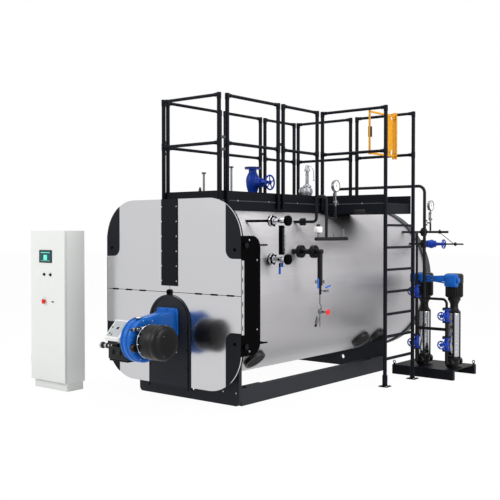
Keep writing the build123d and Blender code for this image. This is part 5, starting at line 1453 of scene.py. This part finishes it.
@dataclass
class FeedPumps(SubAssembly):
    """Two upright pumps with their drives, valves, pipes and skid fittings."""

    xs: tuple[float, float] = (1.296, 1.722)
    y: float = 3.220
    line_y: float = 3.000
    low: float = 0.447
    highs: tuple[float, float] = (1.114, 0.815)
    drives: tuple[tuple[float, float], ...] = ((1.266, 1.280), (1.748, 1.260))
    foot_z: float = 0.125
    port_z: float = 0.190
    stack_z: float = 0.250
    neck_z: float = 0.835
    motor_z: float = 1.035
    rod_zs: tuple[float, float] = (0.240, 0.850)
    arm_xs: tuple[float, float, float] = (1.355, 1.500, 1.665)
    eye_spots: tuple[tuple[float, float], ...] = ((1.010, 2.925), (1.836, 3.575))

    def build(self) -> None:
        """Build the pumps, their drives and the gate valves."""
        feet, stacks, motors, rods, drives = Form(), Form(), Form(), Form(), Form()
        foot = mm(0, 95, 12, 95, 16, 88, 30, 72, 95, 72, 104, 90, 118, 92, 125, 90)
        port = mm(50, 40, 110, 40, 114, 55, 130, 55, 133, 52, 136, 55, 149, 55, 150, 53)
        neck = mm(0, 80, 18, 82, 24, 70, 60, 52, 110, 52, 150, 70, 165, 82, 180, 82, 199, 80)
        for x in self.xs:
            feet.turned((x, self.y, self.foot_z), Z_AXIS, foot, 36)
            for side in SIDES:
                feet.turned((x, self.y, self.port_z), (0.0, side, 0.0), port, 32)
            stacks.turned((x, self.y, self.stack_z), Z_AXIS, mm(0, 66, 6, 70, 570, 70, 585, 66), 40)
            for z in np.arange(0.275, 0.820, 0.054):
                stacks.ring(Place((x, self.y, float(z))), 0.0695, 0.0018, 40, 6)
            foot_end, head_end = self.rod_zs
            for rod_x, rod_y, _ in polar((x, self.y, 0.0), Z_AXIS, 0.072, 4, 22.0, X_AXIS):
                rods.rod((rod_x, rod_y, foot_end), (rod_x, rod_y, head_end), 0.0115, FINE, 12)
            motors.turned((x, self.y, self.neck_z), Z_AXIS, neck, 40)
            self._motor(motors, x)
        for (x, z), half_x, half_z in zip(self.drives, (0.100, 0.091), (0.065, 0.085)):
            profile = mm(0.5, 10, 6, 2, 30, 0, 50, 4, 64, 14, 70, 26)
            place = Place((x, self.y - 0.118, z), FORWARD)
            drives.skin(slab(place, half_x, half_z, 0.024, profile, 6))
            drives.plate(place.at(0.0, 0.0, 0.069), FORWARD, 0.056, half_z * 0.5, 0.010, SOFT, FINE)
        drives.turned((1.836, self.y - 0.150, 1.265), X_AXIS, mm(0, 26, 8, 26, 9, 34, 20, 34, 23.5, 30), 24)
        self._arm(drives)
        self.keep(feet, "pump_bases", DRUM_BLACK, "pump_black", ["pump_feet"])
        self.keep(stacks, "pump_barrels", POLISHED, "pump_steel", ["pump_stacks"])
        self.keep(motors, "pump_motor_cases", DRUM_BLACK, "pump_black", ["pump_motors"])
        self.keep(rods, "pump_tie_rods", KNOB_BLACK, "pump_black")
        self.keep(drives, "pump_drive_cases", DRIVE_BLUE, "drive_blue", ["pump_drives"])
        self._valves()

    def _motor(self, form: Form, x: float) -> None:
        """Add a finned motor case, whose radius swings between rib and groove, with a louvred cap.

        Args:
            form: Where the surfaces go.
            x: The pump's place.
        """
        fins = np.where(np.arange(96) % 4 < 2, 1.0, 0.90)
        table = (
            (0.000, 0.100, 0), (0.010, 0.106, 0), (0.014, 0.114, 1), (0.180, 0.114, 1), (0.184, 0.112, 0),
            (0.190, 0.117, 0), (0.276, 0.118, 0), (0.298, 0.112, 0), (0.309, 0.096, 0), (0.310, 0.030, 0),
        )
        form.skin(fluted(Place((x, self.y, self.motor_z)), table, fins))

    def _arm(self, form: Form) -> None:
        """Add the pierced arm that joins the two drive boxes: two rails that open out, with a cross between.

        Args:
            form: Where the surfaces go.
        """
        y = self.y - 0.168
        near, middle, far = self.arm_xs
        low = ((near, 1.240), (middle, 1.250), (far, 1.228))
        high = ((near, 1.318), (middle, 1.306), (far, 1.316))
        for spots in (low, high):
            for a, b in zip(spots, spots[1:]):
                form.rod((a[0], y, a[1]), (b[0], y, b[1]), 0.0095, EDGE, 12)
        for a, b in ((low[0], high[1]), (high[0], low[1])):
            form.rod((a[0], y, a[1]), (b[0], y, b[1]), 0.0085, FINE, 10)
        for x in (1.432, middle + 0.010):
            form.rod((x, y, 1.245), (x, y, 1.312), 0.0075, FINE, 10)
        form.plate(((middle + far) / 2 + 0.010, y + 0.010, 1.278), FORWARD, 0.080, 0.034, 0.010, 0.020, 0.004)

    def _valves(self) -> None:
        """Build four gate valves with their yokes, in place of the valve node."""
        form = Form()
        y = self.line_y
        body = mm(
            0, 53, 2, 55, 13, 55, 15, 26, 30, 26, 55, 34, 80, 35, 105, 34, 130, 26, 145, 26, 147, 55, 158, 55, 160, 53,
        )
        bonnet = mm(18, 28, 40, 26, 42, 34, 54, 34, 56, 22, 78, 16, 100, 14, 102, 18, 112, 18, 124.7, 12)
        for x, high in zip(self.xs, self.highs):
            for z in (self.low, high):
                form.turned((x, y, z - 0.080), Z_AXIS, body, 32)
                form.turned((x, y, z), FORWARD, bonnet, 24)
                for step in SIDES:
                    out = (0.0, 0.0, -step)
                    form.bolts(polar((x, y, z + step * 0.065), out, 0.044, 4, 45.0, X_AXIS), out, 0.006, 0.006)
        self.keep(form, "gate_valve_castings", VALVE_BLUE, "valve_blue", ["gate_valves"])

    def dress(self) -> None:
        """Add lifting eyes and pipe unions to the skid."""
        eyes, unions = Form(), Form()
        for x, y in self.eye_spots:
            eyes.rod((x, y, self.foot_z), (x, y, 0.140), 0.014, EDGE, 16)
            eyes.ring(Place((x, y, 0.160), Y_AXIS, X_AXIS), 0.017, 0.0055, 24)
        self.keep(eyes, "skid_eyes", RAIL_COAT, "saddle_steel")
        for x, high in zip(self.xs, self.highs):
            for z in (self.low, high):
                for dz in (-0.098, 0.080):
                    unions.rod((x, self.line_y, z + dz), (x, self.line_y, z + dz + 0.018), 0.053, EDGE, 32)
        self.keep(unions, "pipe_flanges", PIPE_BLACK, "pump_black")


@dataclass
class Cabinet(SubAssembly):
    """Screen, keys, lock and inner plate of the control cabinet."""

    front: float = -0.690
    screen: tuple[float, float] = (-1.6855, 1.593)
    knobs: tuple[tuple[float, float], ...] = ((-1.712, 1.377), (-1.594, 1.376))
    lock: tuple[float, float] = (-1.551, 1.056)
    stop: tuple[float, float] = (-1.705, 1.054)
    rail_zs: tuple[float, ...] = (1.55, 1.15, 0.75)
    relays: int = 9
    relay_pitch: float = 0.055

    def dress(self) -> None:
        """Add the door's operator parts, which swing with the door, and the plate inside."""
        y = self.front
        (sx, sz), (lock_x, lock_z), (stop_x, stop_z) = self.screen, self.lock, self.stop
        bezel, lit, mint, black, red, pale = Form(), Form(), Form(), Form(), Form(), Form()
        bezel.plate((sx, y, sz), FORWARD, 0.1215, 0.076, 0.006, 0.006, EDGE)
        lit.plate((sx, y - 0.0061, sz), FORWARD, 0.104, 0.060, EDGE, 0.0006, 0.0001)
        for dz, wide, high in ((-0.012, 0.034, 0.030), (0.046, 0.085, 0.004), (-0.052, 0.085, 0.002)):
            mint.plate((sx, y - 0.0068, sz + dz), FORWARD, wide, high, EDGE, 0.0005, 0.0001)
        for x, z in self.knobs:
            black.turned((x, y, z), FORWARD, mm(0, 19, 4, 19, 5, 13, 18, 12, 21, 9), 24)
        black.plate((lock_x, y - EDGE, lock_z), FORWARD, 0.020, 0.007, SOFT, 0.006, FINE)
        pale.turned((lock_x, y, lock_z), FORWARD, mm(0, 31, 2.5, 31, 3, 29))
        pale.turned((stop_x, y, stop_z), FORWARD, mm(0, 34, 3, 34, 4, 30), 32)
        red.turned((stop_x, y, stop_z), FORWARD, mm(3, 18, 14, 18, 16, 28, 28, 30, 33, 22, 34, 4), 32)
        for form, name, finish, slot in (
            (bezel, "screen_frame", SCREEN_FRAME, "gauge_black"),
            (lit, "screen_pane", SCREEN_LIT, "gauge_black"),
            (mint, "screen_fields", SCREEN_MINT, "transmitter_white"),
            (black, "door_knobs_and_lock", KNOB_BLACK, "gauge_black"),
            (pale, "stop_button_base", PALE_PLASTIC, "transmitter_white"),
            (red, "stop_button", SIGNAL_RED, "wheel_red"),
        ):
            self.keep(form, name, finish, slot, body="cabinet_door")
        plate, gear = Form(), Form()
        plate.plate((-1.655, -0.404, 1.000), FORWARD, 0.285, 0.840, 0.004, SOFT, 0.0005)
        for z in self.rail_zs:
            plate.plate((-1.655, -0.408, z), FORWARD, 0.250, 0.017, EDGE, 0.006, 0.0005)
            for k in range(self.relays):
                wide = 0.018 + 0.008 * (k % 3)
                gear.plate((-1.875 + self.relay_pitch * k, -0.414, z), FORWARD, wide * 0.8, 0.045, SOFT, 0.070, SOFT)
        self.keep(plate, "mounting_plate", MACHINED, "fitting_steel")
        self.keep(gear, "switchgear", COLLAR_COAT, "gauge_black")


@dataclass
class Gate(SubAssembly):
    """Frame, curved plate, bolts and latch of the yellow gate."""

    x: float = 1.140
    pin_y: float = 2.643
    far_y: float = 2.052
    low: float = 2.863
    high: float = 3.375
    tube: float = 0.013
    strip: tuple[float, float] = (2.500, 2.574)
    web_y: float = 2.622
    web_z: tuple[float, float] = (2.960, 3.318)
    plate_t: float = 0.005
    channel_y: float = 2.666

    def build(self) -> None:
        """Build the swinging frame and its plate, whose web draws in towards the hinge by a quarter ellipse."""
        form = Form()
        x = self.x
        for z in (self.low, self.high):
            form.turned((x, self.pin_y, z - self.tube), Z_AXIS, rounded_profile(2 * self.tube, 0.0158, EDGE), 24)
            form.rod((x, self.pin_y - 0.010, z), (x, self.far_y, z), self.tube)
        form.rod((x, self.far_y, self.low - 0.018), (x, self.far_y, self.high + 0.018), self.tube, SOFT)
        start, end = self.strip
        t = np.linspace(0.0, np.pi / 2.0, 12)
        y = end + (self.web_y - end) * (1.0 - np.cos(t))
        lower = np.stack([y, self.low + (self.web_z[0] - self.low) * np.sin(t)], axis=-1)
        upper = np.stack([y, self.high - (self.high - self.web_z[1]) * np.sin(t)], axis=-1)[::-1]
        foot, head = self.low - 0.010, self.high + 0.020
        corners = np.array([(end - EDGE, foot), (end - EDGE, head), (start, head), (start, foot)])
        outline = np.concatenate([corners[:1], lower, upper, corners[1:]])
        faces = [np.insert(outline, 0, x + side * self.plate_t / 2.0, axis=1) for side in SIDES]
        form.skin(np.stack(faces))
        self.keep(form, "gate_swing_frame", GATE_YELLOW, "gate_yellow", ["gate"], body="gate")

    def dress(self) -> None:
        """Add the latch and a bolt, which swing with the gate, and the channel's bolts."""
        latch = Form().plate((self.x, self.far_y + 0.012, 3.060), Z_AXIS, 0.020, 0.018, 0.005, 0.130, 0.004)
        latch.bolts([(self.x + 0.0025, 2.537, 2.905)], X_AXIS, 0.006, 0.005)
        self.keep(latch, "gate_latch", KNOB_BLACK, "gauge_black", body="gate")
        spots = [(self.x + dx, self.channel_y, z) for dx in (-0.016, 0.016) for z in (2.86, 2.90, 3.34, 3.38)]
        self.keep(Form().bolts(spots, FORWARD, 0.0045, 0.004), "gate_channel_bolts", DRUM_BLACK, "gauge_black")


@dataclass
class Studio:
    """Floor, world, lamps and camera."""

    eye: Vec = (6.474, -6.868, 1.876)
    yaw: float = 39.05
    pitch: float = -1.19
    focal_px: float = 830.9
    frame_px: float = 500.0

    def build(self) -> None:
        """Set up the whole studio."""
        self._camera()
        self._floor()
        self._world()
        self._lamps()
        bpy.context.scene.view_settings.view_transform = "Standard"

    def _camera(self) -> None:
        """Place the camera where the photograph was taken from."""
        data = bpy.data.cameras.new("photo_view")
        data.sensor_fit = "HORIZONTAL"
        data.sensor_width = 36.0
        data.lens = 36.0 * self.focal_px / self.frame_px
        data.clip_end = 200.0
        camera = bpy.data.objects.new("photo_view", data)
        camera.location = self.eye
        camera.rotation_euler = (math.radians(90.0 + self.pitch), 0.0, math.radians(self.yaw))
        bpy.context.scene.collection.objects.link(camera)
        bpy.context.scene.camera = camera

    def _pale_rays(self, tree: Any, scale: float) -> Any:
        """A factor that is the scale for camera, glossy and transmitted rays and nought for the rest.

        Args:
            tree: The node tree.
            scale: The factor's size.

        Returns:
            The factor's socket.
        """
        path = add_node(tree, "ShaderNodeLightPath")
        seen = add_node(
            tree,
            "ShaderNodeMath",
            {"operation": "MAXIMUM"},
            {0: path.outputs["Is Camera Ray"], 1: path.outputs["Is Glossy Ray"]},
        )
        every = add_node(
            tree,
            "ShaderNodeMath",
            {"operation": "MAXIMUM"},
            {0: seen.outputs[0], 1: path.outputs["Is Transmission Ray"]},
        )
        scaled = {"operation": "MULTIPLY", "in:1": scale}
        return add_node(tree, "ShaderNodeMath", scaled, {0: every.outputs[0]}).outputs[0]

    def _floor(self) -> None:
        """A wide pale floor that keeps the object's soft shadow."""
        mesh = bpy.data.meshes.new("studio_floor")
        reach = 60.0
        corners = [(-reach, -reach, 0.0), (reach, -reach, 0.0), (reach, reach, 0.0), (-reach, reach, 0.0)]
        mesh.from_pydata(corners, [], [(0, 1, 2, 3)])
        floor = bpy.data.objects.new("studio_floor", mesh)
        bpy.context.scene.collection.objects.link(floor)
        paint = bpy.data.materials.new("white_studio_floor")
        paint.use_nodes = True
        tree = paint.node_tree
        tree.nodes.clear()
        matt = add_node(tree, "ShaderNodeBsdfDiffuse", {"in:Color": (0.9, 0.9, 0.9, 1.0)})
        pale = add_node(tree, "ShaderNodeEmission", {"in:Color": (1.0, 1.0, 1.0, 1.0), "in:Strength": 1.0})
        blend = add_node(
            tree, "ShaderNodeMixShader", {}, {0: self._pale_rays(tree, 0.965), 1: matt.outputs[0], 2: pale.outputs[0]}
        )
        add_node(tree, "ShaderNodeOutputMaterial", {}, {0: blend.outputs[0]})
        mesh.materials.append(paint)

    def _world(self) -> None:
        """White for the eye and for reflections, with a softer level of light on the object."""
        world = bpy.data.worlds.new("studio_world")
        bpy.context.scene.world = world
        world.use_nodes = True
        tree = world.node_tree
        tree.nodes.clear()
        light = add_node(tree, "ShaderNodeBackground", {"in:Color": (1.0, 1.0, 1.0, 1.0), "in:Strength": 0.55})
        white = add_node(tree, "ShaderNodeBackground", {"in:Color": (1.0, 1.0, 1.0, 1.0), "in:Strength": 1.0})
        blend = add_node(
            tree, "ShaderNodeMixShader", {}, {0: self._pale_rays(tree, 1.0), 1: light.outputs[0], 2: white.outputs[0]}
        )
        add_node(tree, "ShaderNodeOutputWorld", {}, {0: blend.outputs[0]})

    def _lamps(self) -> None:
        """Three large soft lamps: key from the front left, fill from the right and one overhead."""
        for name, place, aim, size, power in (
            ("key_lamp", (-4.0, -7.5, 6.0), (0.0, 1.0, 1.2), 5.0, 400.0),
            ("fill_lamp", (8.5, 1.5, 4.5), (0.5, 1.5, 1.2), 5.0, 420.0),
            ("top_lamp", (0.5, 1.8, 8.0), (0.5, 1.8, 1.0), 6.0, 420.0),
        ):
            data = bpy.data.lights.new(name, "AREA")
            data.shape = "DISK"
            data.size = size
            data.energy = power
            lamp = bpy.data.objects.new(name, data)
            lamp.location = place
            way = np.subtract(aim, place)
            flat = math.hypot(way[0], way[1])
            lamp.rotation_euler = (math.atan2(flat, -way[2]), 0.0, math.atan2(-way[0], way[1]))
            bpy.context.scene.collection.objects.link(lamp)


def dress_nodes() -> None:
    """Give every node of the model its real finish."""
    finishes = {name: finish for finish, names in NODES_BY_FINISH for name in names.split()}
    for name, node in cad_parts.items():
        finish = finishes[name].material()
        if not node.material_slots:
            node.data.materials.append(finish)
        for spot in node.material_slots:
            spot.material = finish


def main() -> None:
    """Build the studio and each sub-assembly in order, and log each piece's number of faces."""
    logging.basicConfig(level=logging.INFO, format="%(name)s: %(message)s")
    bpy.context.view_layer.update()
    Studio().build()
    dress_nodes()
    wheels = [
        HandWheel(body="steam_wheel", center=(0.270, 1.165, 2.490)),
        HandWheel(
            body="rear_wheel",
            center=(1.385, 3.600, 1.722),
            radius=0.066,
            rim=0.018,
            back=0.032,
            stem=0.007,
        ),
        HandWheel(
            body="drain_wheel",
            center=(1.380, 0.780, 1.000),
            radius=0.035,
            rim=0.009,
            back=0.007,
            stem=0.0068,
            web=True,
            finish=VALVE_RED,
            slot="wheel_red",
        ),
    ]
    for name, x, z in (
        ("wheel_a_low", 1.296, 0.447),
        ("wheel_a_high", 1.296, 1.114),
        ("wheel_b_low", 1.722, 0.447),
        ("wheel_b_high", 1.722, 0.815),
    ):
        center = (x, 2.850, z)
        wheels.append(
            HandWheel(body=name, center=center, axis=FORWARD, radius=0.057, rim=0.017, back=0.025, stem=0.006)
        )
    parts = [Platform(), TopFittings(), FrontPanel(), Burner(), ShellFittings(), FeedPumps(), Cabinet(), Gate()]
    for group in parts + wheels:
        group.build()
        group.dress()
        for piece in group.pieces:
            log.info("%s: %s with %d faces", type(group).__name__, piece.name, len(piece.data.polygons))


if __name__ == "__main__":
    main()
